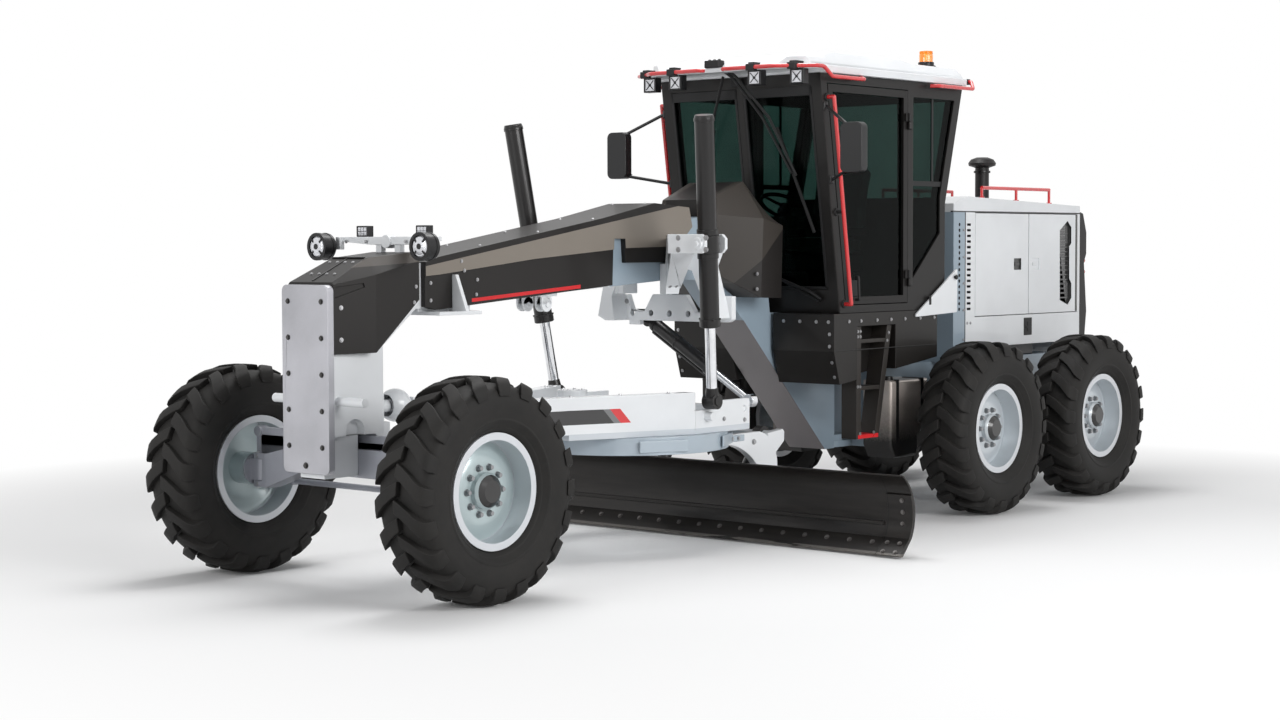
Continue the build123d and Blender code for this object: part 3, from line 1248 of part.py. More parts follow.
def rear_grille():
    """The black tail housing with its louvres, its sides bulging and pinched at the waist."""
    w = GRILLE_HALF_W
    x1 = BONNET_REAR_X - SEAT
    x0 = GRILLE_REAR_X
    body = side_prism([
        (x1, 2405), (x0 + 70, 2375), (x0 + 8, 2208), (x0 + 8, 2020), (x0 + 48, 1946), (x0, 1513), (x0 + 26, 1327),
        (x0 + 42, 1180), (x1, 1180),
    ], -w, w)
    face = x0 + 60
    body -= block(x0 - 1, face, -w + 70, w - 70, 1300, 2320)
    louvres = []
    for i in range(LOUVRES):
        z = 1340 + i * LOUVRE_PITCH
        outline = [(face, z), (face, z + 14), (x0 + 22, z - 16), (x0 + 22, z - 30)]
        louvres.append(side_prism(outline, -w + 60, w - 60))
    return body + louvres


def exhaust_stack():
    """A pipe with a flange at its foot and a mushroom cap."""
    z0 = bonnet_top_z(STACK_X + STACK_R) + SEAT
    top = STACK_TOP_Z
    section = [
        (0, z0), (STACK_R, z0), (STACK_R, top - 90), (STACK_CAP_R - 5, top - 72), (STACK_CAP_R, top - 50),
        (STACK_CAP_R - 22, top - 18), (STACK_R - 10, top), (0, top),
    ]
    outline = make_face(Polyline(*[(r, 0, z) for r, z in section], close=True))
    return Pos(STACK_X, 0, 0) * revolve(outline, axis=Axis.Z)


FRONT_HUB = WHEEL_Y - FLANGE_Y - SEAT
REAR_HUB = WHEEL_Y - TANDEM_Y1 - SEAT
MID_X = TANDEM_X + TANDEM_SPACING / 2
BACK_X = TANDEM_X - TANDEM_SPACING / 2

# Columns: place of the wheel, x of its centre, side, hub length inboard of the centre
WHEELS = [
    ("front_left", AXLE_X, 1, FRONT_HUB),
    ("front_right", AXLE_X, -1, FRONT_HUB),
    ("mid_left", MID_X, 1, REAR_HUB),
    ("mid_right", MID_X, -1, REAR_HUB),
    ("rear_left", BACK_X, 1, REAR_HUB),
    ("rear_right", BACK_X, -1, REAR_HUB),
]

nodes = {}
for name, x, side, hub in WHEELS:
    rubber = Pos(x, WHEEL_Y, TYRE_R) * tyre()
    metal = Pos(x, WHEEL_Y, TYRE_R) * wheel(hub)
    nodes["tyre_" + name] = rubber if side > 0 else mirrored(rubber)
    nodes["wheel_" + name] = metal if side > 0 else mirrored(metal)

LEFT_AND_RIGHT = [
    ("knuckle", knuckle()),
    ("lift_barrel", lift_barrel()),
    ("lift_rod", lift_rod()),
    ("cab_door", cab_door()),
]
for name, shape in LEFT_AND_RIGHT:
    nodes[name + "_left"] = shape
    nodes[name + "_right"] = mirrored(shape)

# Columns: door, x of its rear edge, x of its front edge
BONNET_DOORS = [
    ("front", DOOR_SPLIT_X, BONNET_DOOR_X1),
    ("rear", BONNET_REAR_X + BONNET_WALL, DOOR_SPLIT_X),
]
for name, x0, x1 in BONNET_DOORS:
    shape = bonnet_door(x0, x1)
    nodes["bonnet_door_left_" + name] = shape
    nodes["bonnet_door_right_" + name] = mirrored(shape)

for make in (
    front_axle, tie_rod, push_plate, front_frame, beam_covers, lamp_bar, lamps, saddle, shift_barrel, shift_rod,
    drawbar_ball, drawbar, circle, blade_carrier, moldboard, cutting_edge, side_shift_rod, tip_barrels, tip_rods,
    cab_frame, cab_glass, cab_roof, cab_interior, skirt, rear_panels, ladders, mirrors, grab_rails,
    rear_frame, tandem_cases, side_tanks, engine_block, bonnet, bonnet_rails, rear_grille, exhaust_stack,
):
    nodes[make.__name__] = make()

for name, shape in nodes.items():
    export_step(shape, f"parts/{name}.step")
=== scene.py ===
import math

import bmesh
import bpy
from mathutils import Matrix, Quaternion, Vector


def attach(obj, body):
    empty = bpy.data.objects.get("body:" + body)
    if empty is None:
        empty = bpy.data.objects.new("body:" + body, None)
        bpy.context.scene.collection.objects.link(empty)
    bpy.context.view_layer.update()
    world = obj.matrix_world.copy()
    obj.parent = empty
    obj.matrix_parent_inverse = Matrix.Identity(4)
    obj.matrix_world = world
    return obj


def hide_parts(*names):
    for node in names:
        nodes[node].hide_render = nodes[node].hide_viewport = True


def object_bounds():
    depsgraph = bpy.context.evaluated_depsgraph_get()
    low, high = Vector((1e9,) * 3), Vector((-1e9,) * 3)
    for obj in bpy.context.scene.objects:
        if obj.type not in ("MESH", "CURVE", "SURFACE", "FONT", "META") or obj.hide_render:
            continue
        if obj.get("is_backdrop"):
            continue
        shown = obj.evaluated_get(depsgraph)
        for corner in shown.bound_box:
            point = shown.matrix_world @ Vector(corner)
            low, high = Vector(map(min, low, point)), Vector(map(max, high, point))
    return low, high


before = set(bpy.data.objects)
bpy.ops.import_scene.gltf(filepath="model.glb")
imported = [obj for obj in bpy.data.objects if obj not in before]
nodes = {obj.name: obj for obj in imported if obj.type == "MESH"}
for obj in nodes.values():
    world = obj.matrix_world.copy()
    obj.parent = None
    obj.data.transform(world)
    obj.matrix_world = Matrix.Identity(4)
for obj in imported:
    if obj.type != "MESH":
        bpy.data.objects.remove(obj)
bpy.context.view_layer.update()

# Camera. The photograph was taken low and from in front of the machine's left side,
# a few metres beyond its nose. Place and lens were solved from the wheels.
camera_data = bpy.data.cameras.new("camera")
camera_data.sensor_width = 36
camera_data.lens = 62.02
camera = bpy.data.objects.new("camera", camera_data)
bpy.context.scene.collection.objects.link(camera)
heading, pitch, roll = (math.radians(angle) for angle in (-139.759, -3.032, -0.164))
level = math.cos(pitch)
looking = Vector((level * math.cos(heading), level * math.sin(heading), math.sin(pitch)))
camera.location = (13.065, 10.146, 2.125)
camera.rotation_mode = "QUATERNION"
camera.rotation_quaternion = looking.to_track_quat("-Z", "Y") @ Quaternion((0, 0, 1), roll)
bpy.context.scene.camera = camera
bpy.context.scene.view_settings.view_transform = "Standard"


# Studio. A white room: a pale floor that takes the shadow, a wide soft lamp overhead,
# and two tall soft lamps, one on the machine's left and a weaker one in front.
class Wire:
    """An output of a node. Sums on it add Math nodes, and node() adds any other kind."""

    def __init__(self, tree, socket=None):
        self.tree = tree
        self.socket = socket

    def node(self, kind, sockets=None, output=0, **settings):
        made = self.tree.nodes.new("ShaderNode" + kind)
        for name, value in settings.items():
            setattr(made, name, value)
        for name, value in (sockets or {}).items():
            socket = made.inputs[name]
            if isinstance(value, Wire):
                self.tree.links.new(value.socket, socket)
            elif socket.type == "RGBA" and len(value) == 3:
                socket.default_value = (*value, 1)
            else:
                socket.default_value = value
        return Wire(self.tree, made.outputs[output])

    def math(self, operation, first, second=0.0):
        return self.node("Math", {0: first, 1: second}, operation=operation)

    def split(self):
        """The X, Y and Z of a place."""
        parts = self.node("SeparateXYZ", {0: self}).socket.node.outputs
        return [Wire(self.tree, part) for part in parts]

    def pattern(self, kind, **sockets):
        """A texture of this kind, read at this place."""
        return self.node("Tex" + kind, {"Vector": self, **sockets})

    def ramp(self, *stops):
        """The colour that this value stands for. Each stop is (value, colour)."""
        shade = self.node("ValToRGB", {0: self})
        ramp = shade.socket.node.color_ramp.elements
        for count, (value, colour) in enumerate(stops):
            stop = ramp[count] if count < 2 else ramp.new(value)
            stop.position = value
            stop.color = (*colour, 1)
        return shade

    def bump(self, strength, metres):
        return self.node("Bump", {"Strength": strength, "Distance": metres, "Height": self})

    def blend(self, mask, other):
        """This colour, and the other one where the mask is 1."""
        return self.node("Mix", {0: mask, 6: self, 7: other}, output=2, data_type="RGBA")

    def __add__(self, other):
        return self.math("ADD", self, other)

    def __sub__(self, other):
        return self.math("SUBTRACT", self, other)

    def __rsub__(self, other):
        return self.math("SUBTRACT", other, self)

    def __mul__(self, other):
        return self.math("MULTIPLY", self, other)

    def __gt__(self, other):
        return self.math("GREATER_THAN", self, other)

    def __lt__(self, other):
        return self.math("LESS_THAN", self, other)

    def __or__(self, other):
        return self.math("MAXIMUM", self, other)

    def __abs__(self):
        return self.math("ABSOLUTE", self)


def new_material(name):
    """An empty material, and the place on the machine that its textures are read at."""
    material = bpy.data.materials.new(name)
    material.use_nodes = True
    material.node_tree.nodes.clear()
    return material, Wire(material.node_tree).node("TexCoord", output="Object")


def close_material(surface):
    output = surface.tree.nodes.new("ShaderNodeOutputMaterial")
    surface.tree.links.new(surface.socket, output.inputs["Surface"])


def looked_at(start):
    """1 for rays that show the background: from the camera, mirrored, or through glass."""
    straight, mirrored, through = (
        start.node("LightPath", output=f"Is {kind} Ray")
        for kind in ("Camera", "Glossy", "Transmission")
    )
    return straight | mirrored | through


world = bpy.data.worlds.new("studio")
bpy.context.scene.world = world
world.use_nodes = True
world.node_tree.nodes.clear()
sky = Wire(world.node_tree)
up = sky.node("TexCoord", output="Generated").split()[2]
room = (up * 0.5 + 0.5).ramp(
    (0.0, (0.40, 0.41, 0.42)), (0.48, (0.42, 0.43, 0.44)),
    (0.62, (0.66, 0.67, 0.69)), (1.0, (0.95, 0.95, 0.96)),
)
lit = sky.node("Background", {"Color": room, "Strength": 0.30})
plain = sky.node("Background", {"Color": (1, 1, 1), "Strength": 1.0})
mixed = sky.node("MixShader", {0: looked_at(sky), 1: lit, 2: plain})
sky_out = world.node_tree.nodes.new("ShaderNodeOutputWorld")
world.node_tree.links.new(mixed.socket, sky_out.inputs["Surface"])

# Columns: name, place, point that it faces, width, height, power in watts
LAMPS = [
    ("lamp_overhead", (-0.5, -1.0, 9.0), (0, 0, 0), 6, 3.5, 480),
    ("lamp_left", (2.0, 11.5, 5.0), (0.5, 0, 1.0), 7, 4, 760),
    ("lamp_front", (13.0, -1.0, 4.5), (2.0, 0, 1.4), 5, 4, 390),
]
for name, spot, target, width, height, power in LAMPS:
    data = bpy.data.lights.new(name, "AREA")
    data.shape = "RECTANGLE"
    data.size = width
    data.size_y = height
    data.energy = power
    lamp = bpy.data.objects.new(name, data)
    lamp.location = spot
    lamp.rotation_mode = "QUATERNION"
    lamp.rotation_quaternion = (Vector(target) - Vector(spot)).to_track_quat("-Z", "Y")
    bpy.context.scene.collection.objects.link(lamp)

FLOOR_HALF = 60
FADE_FROM, FADE_TO = 4.6, 8.0
floor_mesh = bmesh.new()
bmesh.ops.create_grid(floor_mesh, x_segments=1, y_segments=1, size=FLOOR_HALF)
floor_data = bpy.data.meshes.new("floor")
floor_mesh.to_mesh(floor_data)
floor_mesh.free()
floor = bpy.data.objects.new("floor", floor_data)
bpy.context.scene.collection.objects.link(floor)
floor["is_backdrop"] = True
floor_paint, place = new_material("floor")
reach = place.node("VectorMath", {0: place}, output="Value", operation="LENGTH")
far = place.node("MapRange", {"Value": reach, "From Min": FADE_FROM, "From Max": FADE_TO})
matt = place.node("BsdfPrincipled", {"Base Color": (0.93, 0.93, 0.93), "Roughness": 0.9})
glow = place.node("Emission", {"Color": (1, 1, 1), "Strength": 1.0})
faded = looked_at(place) * (far * 0.97 + 0.03)
close_material(place.node("MixShader", {0: faded, 1: matt, 2: glow}))
floor_data.materials.append(floor_paint)


# Front frame. One welded box section from the leg over the beam to the articulation hitch, painted
# white in front and blue-grey behind, with a taupe plate on the face of its sloping rear leg.
def paint(name, colour, roughness=0.35, coat=0.5, metallic=0.0, fleck=0.0, regions=None,
          peel=0.04, shine=0.5):
    """Sprayed enamel: clouded colour, orange peel and a clear coat. Regions give (mask, colour)."""
    material, place = new_material(name)
    cloud = place.pattern("Noise", Scale=1.7, Detail=4.0)
    grain = place.pattern("Noise", Scale=480.0, Detail=1.0)
    dark = tuple(c * (0.93 - fleck * 0.5) for c in colour)
    light = tuple(min(0.95, c * (1.05 + fleck)) for c in colour)
    shade = (cloud * (1 - fleck) + grain * fleck).ramp((0.3, dark), (0.7, light))
    for mask, other in regions(*place.split()) if regions else ():
        shade = shade.blend(mask, other)
    close_material(place.node("BsdfPrincipled", {
        "Base Color": shade, "Roughness": cloud * 0.12 + (roughness - 0.06), "Metallic": metallic,
        "Coat Weight": coat, "Coat Roughness": 0.08, "Specular IOR Level": shine,
        "Normal": place.pattern("Noise", Scale=95.0, Detail=2.0).bump(peel, 0.002),
    }))
    return material


def soften(thing, width, angle=32):
    edges = thing.modifiers.new("edges", "BEVEL")
    edges.width = width
    edges.segments = 2
    edges.limit_method = "ANGLE"
    edges.angle_limit = math.radians(angle)
    edges.use_clamp_overlap = False
    shading = thing.modifiers.new("shading", "WEIGHTED_NORMAL")
    shading.keep_sharp = True


def dress(names, material, bevel=0.004, angle=32):
    """CAD nodes with their material. With a bevel, edges sharper than the angle are rounded, and
    without one they are split sharp; others are smooth.
    """
    for name in names.split():
        node = nodes[name]
        node.data.materials.clear()
        node.data.materials.append(material)
        node.data.polygons.foreach_set("use_smooth", [True] * len(node.data.polygons))
        node.modifiers.new("weld", "WELD").merge_threshold = 0.00001
        if bevel:
            flat = node.modifiers.new("flat", "DECIMATE")
            flat.decimate_type = "DISSOLVE"
            flat.angle_limit = math.radians(0.5)
            soften(node, bevel, angle)
        else:
            node.modifiers.new("crease", "EDGE_SPLIT").split_angle = math.radians(angle)


WHITE = (0.82, 0.84, 0.86)
BLUE_GREY = (0.31, 0.39, 0.46)
PLATE_TAUPE = (0.185, 0.168, 0.174)
SLOPE_TOP = (0.092, 1.550)
SLOPE_LOW = (-0.945, 0.516)
WHITE_UNTIL = 1.60


def frame_regions(x, y, z):
    lean = (SLOPE_TOP[1] - SLOPE_LOW[1]) / (SLOPE_TOP[0] - SLOPE_LOW[0])
    depth = (z - SLOPE_LOW[1]) - (x - SLOPE_LOW[0]) * lean
    face = (abs(depth) < 0.008) * (z < SLOPE_TOP[1] + 0.002)
    return [(x < WHITE_UNTIL, BLUE_GREY), (face, PLATE_TAUPE)]


white = paint("white_enamel", WHITE)
dress("front_frame", paint("frame_enamel", WHITE, regions=frame_regions), 0.003, 12)

# Push plate. A flame-cut steel slab on the leg's front, sprayed silver with a coarse metallic fleck
# and held by two rows of dark bolts.
silver = paint("silver_enamel", (0.42, 0.42, 0.45), roughness=0.42, coat=0.3, metallic=0.35,
               fleck=0.35, peel=0.08)
dress("push_plate", silver, 0.005)


def new_piece(name, mesh, material, body, bevel=0.0):
    """A finished mesh as an object that rides on a body."""
    data = bpy.data.meshes.new(name)
    mesh.to_mesh(data)
    mesh.free()
    data.materials.append(material)
    data.polygons.foreach_set("use_smooth", [True] * len(data.polygons))
    thing = bpy.data.objects.new(name, data)
    bpy.context.scene.collection.objects.link(thing)
    if bevel:
        soften(thing, bevel)
    else:
        thing.modifiers.new("crease", "EDGE_SPLIT").split_angle = math.radians(32)
    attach(thing, body)
    return thing


def facing(place, normal):
    """The transform that stands a shape made along Z on this place, along this normal."""
    turn = Vector((0, 0, 1)).rotation_difference(Vector(normal).normalized())
    return Matrix.Translation(place) @ turn.to_matrix().to_4x4()


def rod(mesh, matrix, low, high, radius, top=None, sides=24):
    """A round or tapered bar along the matrix's Z, from low to high."""
    bmesh.ops.create_cone(
        mesh, cap_ends=True, segments=sides, radius1=radius, radius2=radius if top is None else top,
        depth=high - low, matrix=matrix @ Matrix.Translation((0, 0, (low + high) / 2)),
    )


AHEAD, OUT, UP = (1, 0, 0), (0, 1, 0), (0, 0, 1)


def twins(place, way=OUT):
    """The transforms of a place on the left side and its twin on the right. A place on the
    machine's middle line has no twin."""
    (x, y, z), (i, j, k) = place, way
    return [facing((x, side * y, z), (i, side * j, k)) for side in ((1, -1) if y else (1,))]


def bolts(name, body, groups, material):
    """Hexagon bolts on round washers, with their twins. Each group: places, the way they face,
    radius across the hexagon."""
    mesh = bmesh.new()
    for places, way, radius in groups:
        for place in places:
            for stand in twins(place, way):
                rod(mesh, stand, -0.003, 0.003, radius * 1.35, sides=12)
                rod(mesh, stand, 0.002, radius * 0.8, radius, radius * 0.92, sides=6)
    new_piece(name, mesh, material, body)


bolt_steel = paint("bolt_steel", (0.07, 0.068, 0.066), roughness=0.35, coat=0.1, metallic=0.8)
zinc = paint("zinc_bolt", (0.42, 0.42, 0.43), roughness=0.32, coat=0.1, metallic=0.9)
PLATE_X = 4.212
bolts("push_plate_bolts", "front_frame", [
    ([(PLATE_X, 0.150, 0.900 + 0.220 * row) for row in range(5)], AHEAD, 0.013),
    ([(PLATE_X, 0, 0.785)], AHEAD, 0.015),
], bolt_steel)

# Beam covers. Folded sheet over the nose and the beam, and the flared cover before the cab: near
# black, with a raised taupe band along the beam and a red line low on its side.
SOOT = (0.0130, 0.0112, 0.0104)
TAUPE = (0.235, 0.208, 0.178)
LINE_RED = (0.68, 0.028, 0.033)
BAND_Y = 0.2145


def beam_top(x):
    """Height of the beam's sloping top."""
    return (x - 1.721) * -0.1615 + 2.296


def cover_regions(x, y, z):
    side = abs(y)
    band = (x > 0.70) * (x < 3.402) * (side > BAND_Y)
    crown = (z > beam_top(x) - 0.040)
    low_edge = (2.987 - x) * 0.0667 + 1.752
    high_edge = (2.987 - x) * 0.0680 + 1.775
    line = (z > low_edge) * (z < high_edge) * (x < 2.985) * (x > 1.94) * (side > 0.2)
    # Painted highlight: the nose cover's upper side facet is painted a lighter taupe, standing in
    # for the light that falls on it.
    crease = (x > 3.47) * (z > 2.012 - (x - 3.47) * 0.06) * (side > 0.155)
    flare = (x < 0.62) * (side > 0.18) * (z > 2.0 - (x - 0.2) * 0.9)
    return [
        (band, TAUPE), (band * crown, SOOT), (line, LINE_RED),
        (crease, (0.085, 0.075, 0.067)), (flare, (0.045, 0.039, 0.034)),
    ]


cover_enamel = paint("cover_enamel", SOOT, roughness=0.42, coat=0.06, fleck=0.1,
                     regions=cover_regions, shine=0.25)
dress("beam_covers", cover_enamel, 0.002, 5)
bolts("cover_bolts", "front_frame", [
    ([(4.108, 0.2119, 1.742), (4.108, 0.2119, 1.548)], (0.127, 0.99, 0), 0.011),
    ([(3.502, 0.2312, 1.860), (3.518, 0.2318, 1.762), (3.352, 0.2075, 1.880),
      (3.352, 0.2075, 1.770), (3.085, 0.2155, 2.015), (3.060, 0.2155, 1.955),
      (2.935, 0.2075, 1.895), (2.945, 0.2075, 1.800)], OUT, 0.009),
    ([(0.25, 0.4215, 1.900), (0.25, 0.4195, 1.790)], OUT, 0.010),
    ([(1.20, 0.150, beam_top(1.20) + 0.0195), (1.75, 0.150, beam_top(1.75) - 0.0005),
      (2.30, 0.150, beam_top(2.30) - 0.0005), (2.85, 0.150, beam_top(2.85) - 0.0005)],
     (0.16, 0, 0.987), 0.009),
    ([(x, y, 2.041 - (x - 3.85) * 0.465) for x in (3.91, 4.06) for y in (0.035, 0.105)],
     (0.415, 0, 0.91), 0.008),
], zinc)


def block(mesh, matrix, size):
    """A box of this size about the matrix's middle."""
    bmesh.ops.create_cube(mesh, size=1, matrix=matrix @ Matrix.Diagonal((*size, 1)))


mesh = bmesh.new()
nose_slope = Matrix.Translation((4.005, 0, 1.969)) @ Matrix.Rotation(math.radians(24.9), 4, "Y")
block(mesh, nose_slope, (0.31, 0.012, 0.006))
block(mesh, Matrix.Translation((3.853, 0, 2.0425)), (0.016, 0.290, 0.006))
black = paint("black_enamel", (0.010, 0.0095, 0.0095), roughness=0.32, coat=0.15, shine=0.25)
new_piece("nose_seams", mesh, black, "front_frame", 0.001)


# Tow lugs. Two forks of white steel plate, each with a pin through its eyes, welded to a
# plate under the beam.
def slab(mesh, low, high):
    """A box between two corners."""
    centre = [(a + b) / 2 for a, b in zip(low, high)]
    block(mesh, Matrix.Translation(centre), [abs(b - a) for a, b in zip(low, high)])


def twin_slabs(mesh, low, high):
    """A box between two corners on the left side, and its twin on the right."""
    for side in (1, -1):
        slab(mesh, (low[0], side * low[1], low[2]), (high[0], side * high[1], high[2]))


LUG_X = 2.180
LUG_TOP = 1.797
mesh = bmesh.new()
slab(mesh, (LUG_X - 0.090, -0.130, LUG_TOP - 0.026), (LUG_X + 0.090, 0.130, LUG_TOP))
for side in (1, -1):
    for y in (0.060, 0.110):
        slab(mesh, (LUG_X - 0.050, side * (y - 0.009), LUG_TOP - 0.080),
             (LUG_X + 0.050, side * (y + 0.009), LUG_TOP - 0.010))
        rod(mesh, facing((LUG_X, side * y, LUG_TOP - 0.080), (0, side, 0)), -0.009, 0.009, 0.050)
    pin = facing((LUG_X, side * 0.085, LUG_TOP - 0.084), (0, side, 0))
    rod(mesh, pin, -0.038, 0.046, 0.018, sides=16)
new_piece("tow_lugs", mesh, white, "front_frame", 0.002)

# Lamp bracket and lamps. A white pressed bracket carries two round headlamps with crossed bars over
# their lenses and two square work lamps; four more hang from the roof, and a beacon stands on it.
dress("lamp_bar", white, 0.003)


def lamp_regions(x, y, z):
    return [((z > 3.532) * (x < -1.0), (0.90, 0.24, 0.012))]


lamp_black = paint("lamp_black", (0.011, 0.011, 0.012), roughness=0.4, coat=0.1,
                   regions=lamp_regions, shine=0.3)
dress("lamps", lamp_black, 0.004)


def patterned(name, kind, pattern, stops, surface, gloss=None, bump=None, glow=0.0):
    """A surface whose colour follows one texture. Gloss: how far the roughness follows it, and
    from where. Bump: how strongly it raises the surface, and by how many metres."""
    material, place = new_material(name)
    figure = place.pattern(kind, **pattern)
    sockets = {"Base Color": figure.ramp(*stops), **surface}
    if gloss:
        sockets["Roughness"] = figure * gloss[0] + gloss[1]
    if bump:
        sockets["Normal"] = figure.bump(*bump)
    if glow:
        sockets.update({"Emission Color": sockets["Base Color"], "Emission Strength": glow})
    close_material(place.node("BsdfPrincipled", sockets))
    return material


lens_paint = patterned(
    "lamp_lens", "Voronoi", {"Scale": 90.0},
    [(0.0, (0.86, 0.87, 0.90)), (0.9, (0.62, 0.63, 0.67))],
    {"Metallic": 0.45, "Roughness": 0.18, "Coat Weight": 1.0, "Coat Roughness": 0.02},
    bump=(0.35, 0.003),
)


def spun(profile, steps, matrix, closed=True):
    """A mesh turned about the matrix's Z from a profile of (radius, height) points."""
    part = bmesh.new()
    line = [part.verts.new((radius, 0, height)) for radius, height in profile]
    edges = [part.edges.new(ends) for ends in zip(line, line[1:] + line[:closed])]
    bmesh.ops.spin(part, geom=line + edges, cent=(0, 0, 0), axis=(0, 0, 1), angle=math.tau,
                   steps=steps, use_merge=True)
    bmesh.ops.remove_doubles(part, verts=part.verts[:], dist=0.00001)
    bmesh.ops.recalc_face_normals(part, faces=part.faces[:])
    bmesh.ops.transform(part, matrix=matrix, verts=part.verts[:])
    return part


def join(mesh, part):
    """Moves a part's faces into a mesh."""
    made = bpy.data.meshes.new("part")
    part.to_mesh(made)
    part.free()
    mesh.from_mesh(made)
    bpy.data.meshes.remove(made)


def hoop(mesh, matrix, low, high, inner, outer):
    """A flat ring about the matrix's Z."""
    join(mesh, spun([(inner, low), (outer, low), (outer, high), (inner, high)], 36, matrix))


def cross(mesh, face, lift, size):
    """Two bars at right angles over a lens, lifted off its face."""
    for turn in (45, 135):
        turned = face @ Matrix.Rotation(math.radians(turn), 4, "Z")
        block(mesh, turned @ Matrix.Translation((0, 0, lift)), size)


HEADLAMP = (3.6903, 0.467, 2.109)
WORK_LAMP_X = 3.4823
CELLS = [(0.243 + 0.027 * column, 2.1915 + 0.027 * row) for row in (0, 1) for column in (0, 1, 2)]
CELL_HALF = 0.0115
ROOF_LAMPS = ((0.104, 0.690), (0.190, 0.372))
ROOF_LAMP_Z = 3.3245
ROOF_LENS_HALF = 0.0425
mesh = bmesh.new()
rings = bmesh.new()
for stand in twins(HEADLAMP, AHEAD):
    rod(mesh, stand, -0.004, 0.006, 0.070, 0.058, sides=40)
    rod(mesh, stand, 0.005, 0.013, 0.056, 0.030, sides=40)
    hoop(rings, stand, -0.014, 0.010, 0.068, 0.088)
    hoop(rings, stand, -0.070, -0.060, 0.080, 0.088)
    cross(rings, stand, 0.004, (0.138, 0.012, 0.014))
    rod(rings, stand, 0.002, 0.016, 0.022, 0.018, sides=16)
for y, z in CELLS:
    twin_slabs(mesh, (WORK_LAMP_X - 0.001, y - CELL_HALF, z - CELL_HALF),
               (WORK_LAMP_X + 0.005, y + CELL_HALF, z + CELL_HALF))
for x, y in ROOF_LAMPS:
    for face in twins((x + 0.0280, y, ROOF_LAMP_Z), AHEAD):
        cross(rings, face, 0.0045, (0.100, 0.006, 0.005))
        rod(rings, face, 0.002, 0.009, 0.010, sides=12)
    twin_slabs(mesh, (x + 0.026, y - ROOF_LENS_HALF, ROOF_LAMP_Z - ROOF_LENS_HALF),
               (x + 0.032, y + ROOF_LENS_HALF, ROOF_LAMP_Z + ROOF_LENS_HALF))
new_piece("lamp_lenses", mesh, lens_paint, "front_frame")
new_piece("lamp_bezels", rings, lamp_black, "front_frame")
bolts("bracket_bolts", "front_frame", [
    ([(3.542, y, 2.140) for y in (0.40, 0.36, 0.18)], AHEAD, 0.008),
], zinc)

# Front axle. A cast beam on a centre pin with the lean bar over it; the knuckles turn on kingpins
# and the tie rod links their arms. All are sprayed silver-grey.
FRONT_X = 3.812
KINGPIN_Y = 0.882
axle_grey = paint("axle_grey", (0.33, 0.34, 0.38), roughness=0.4, coat=0.3, metallic=0.2, fleck=0.2)
dress("front_axle knuckle_left knuckle_right tie_rod", axle_grey, 0.004)
bolts("kingpin_bolts", "front_frame", [
    ([(FRONT_X + dx, KINGPIN_Y, 0.7855) for dx in (-0.033, 0.033)], UP, 0.010),
    ([(FRONT_X + dx, KINGPIN_Y, 0.5645) for dx in (-0.033, 0.033)], (0, 0, -1), 0.010),
    ([(3.868, KINGPIN_Y - 0.012, z) for z in (0.765, 0.585)], AHEAD, 0.009),
], zinc)

# Wheels. Welded steel discs, pale blue-grey inside a bright silver rim flange, with ten studs
# round a black domed hub cap.
HUB_Z = 0.675
TRACK_HALF = 1.057
NUT_CIRCLE = 0.143
NUTS = 10
SIDES = (("left", 1), ("right", -1))
# Columns: pair, place along the machine, colour of the disc: one enamel, painted darker on the
# front pair as painted shade and lighter on the mid and rear pairs as painted light
WHEELS = (
    ("front", FRONT_X, (0.44, 0.52, 0.53)), ("mid", -1.8355, (0.60, 0.64, 0.67)),
    ("rear", -3.4825, (0.60, 0.64, 0.67)),
)
nut_grey = paint("nut_grey", (0.20, 0.21, 0.22), roughness=0.32, coat=0.2, metallic=0.5)
for pair, wheel_x, disc_with_painted_light in WHEELS:
    def wheel_regions(x, y, z, wheel_x=wheel_x):
        dx, dz = x - wheel_x, z - HUB_Z
        spread = dx * dx + dz * dz
        outboard = abs(y) - TRACK_HALF
        flange = (spread > 0.306 ** 2) * (abs(outboard) > 0.120)
        dome = (spread < 0.0965 ** 2) * (outboard > 0.049)
        stud = (spread > 0.126 ** 2) * (spread < 0.160 ** 2) * (outboard > 0.0525)
        barrel = (spread > 0.296 ** 2) * (spread < 0.306 ** 2)
        return [
            (barrel, (0.50, 0.54, 0.57)), (flange, (0.66, 0.68, 0.71)),
            (dome, (0.016, 0.015, 0.015)), (stud, (0.28, 0.28, 0.29)),
        ]
    dress(f"wheel_{pair}_left wheel_{pair}_right", paint(
        "wheel_enamel_" + pair, disc_with_painted_light, roughness=0.3, coat=0.5, metallic=0.15, fleck=0.1,
        regions=wheel_regions), 0.0)
    for side_name, side in SIDES:
        mesh = bmesh.new()
        for count in range(NUTS):
            turn = math.tau * count / NUTS
            x, z = wheel_x + NUT_CIRCLE * math.cos(turn), HUB_Z + NUT_CIRCLE * math.sin(turn)
            stand = facing((x, side * (TRACK_HALF + 0.052), z), (0, side, 0))
            rod(mesh, stand, -0.003, 0.005, 0.0215, sides=16)
            rod(mesh, stand, 0.004, 0.022, 0.0185, 0.0175, sides=6)
        wheel = pair + "_" + side_name
        new_piece("wheel_nuts_" + wheel, mesh, nut_grey, "wheel_" + wheel, 0.0015)

# Tyres. Wide earthmover tyres: a moulded carcass with a ribbed sidewall, and twenty deep slanted
# lugs on each side that run from the middle of the tread over the shoulder.
RIM_HALF = 0.1357
LUGS = 20
rubber, place = new_material("tyre_rubber")
dust = place.pattern("Noise", Scale=5.0, Detail=6.0, Roughness=0.65)
pores = place.pattern("Noise", Scale=260.0, Detail=2.0)
close_material(place.node("BsdfPrincipled", {
    "Base Color": dust.ramp((0.3, (0.0115, 0.0110, 0.0105)), (0.75, (0.0240, 0.0225, 0.0210))),
    "Roughness": dust * 0.25 + 0.52, "Specular IOR Level": 0.22,
    "Normal": (pores + dust * 2.0).bump(0.25, 0.0015),
}))

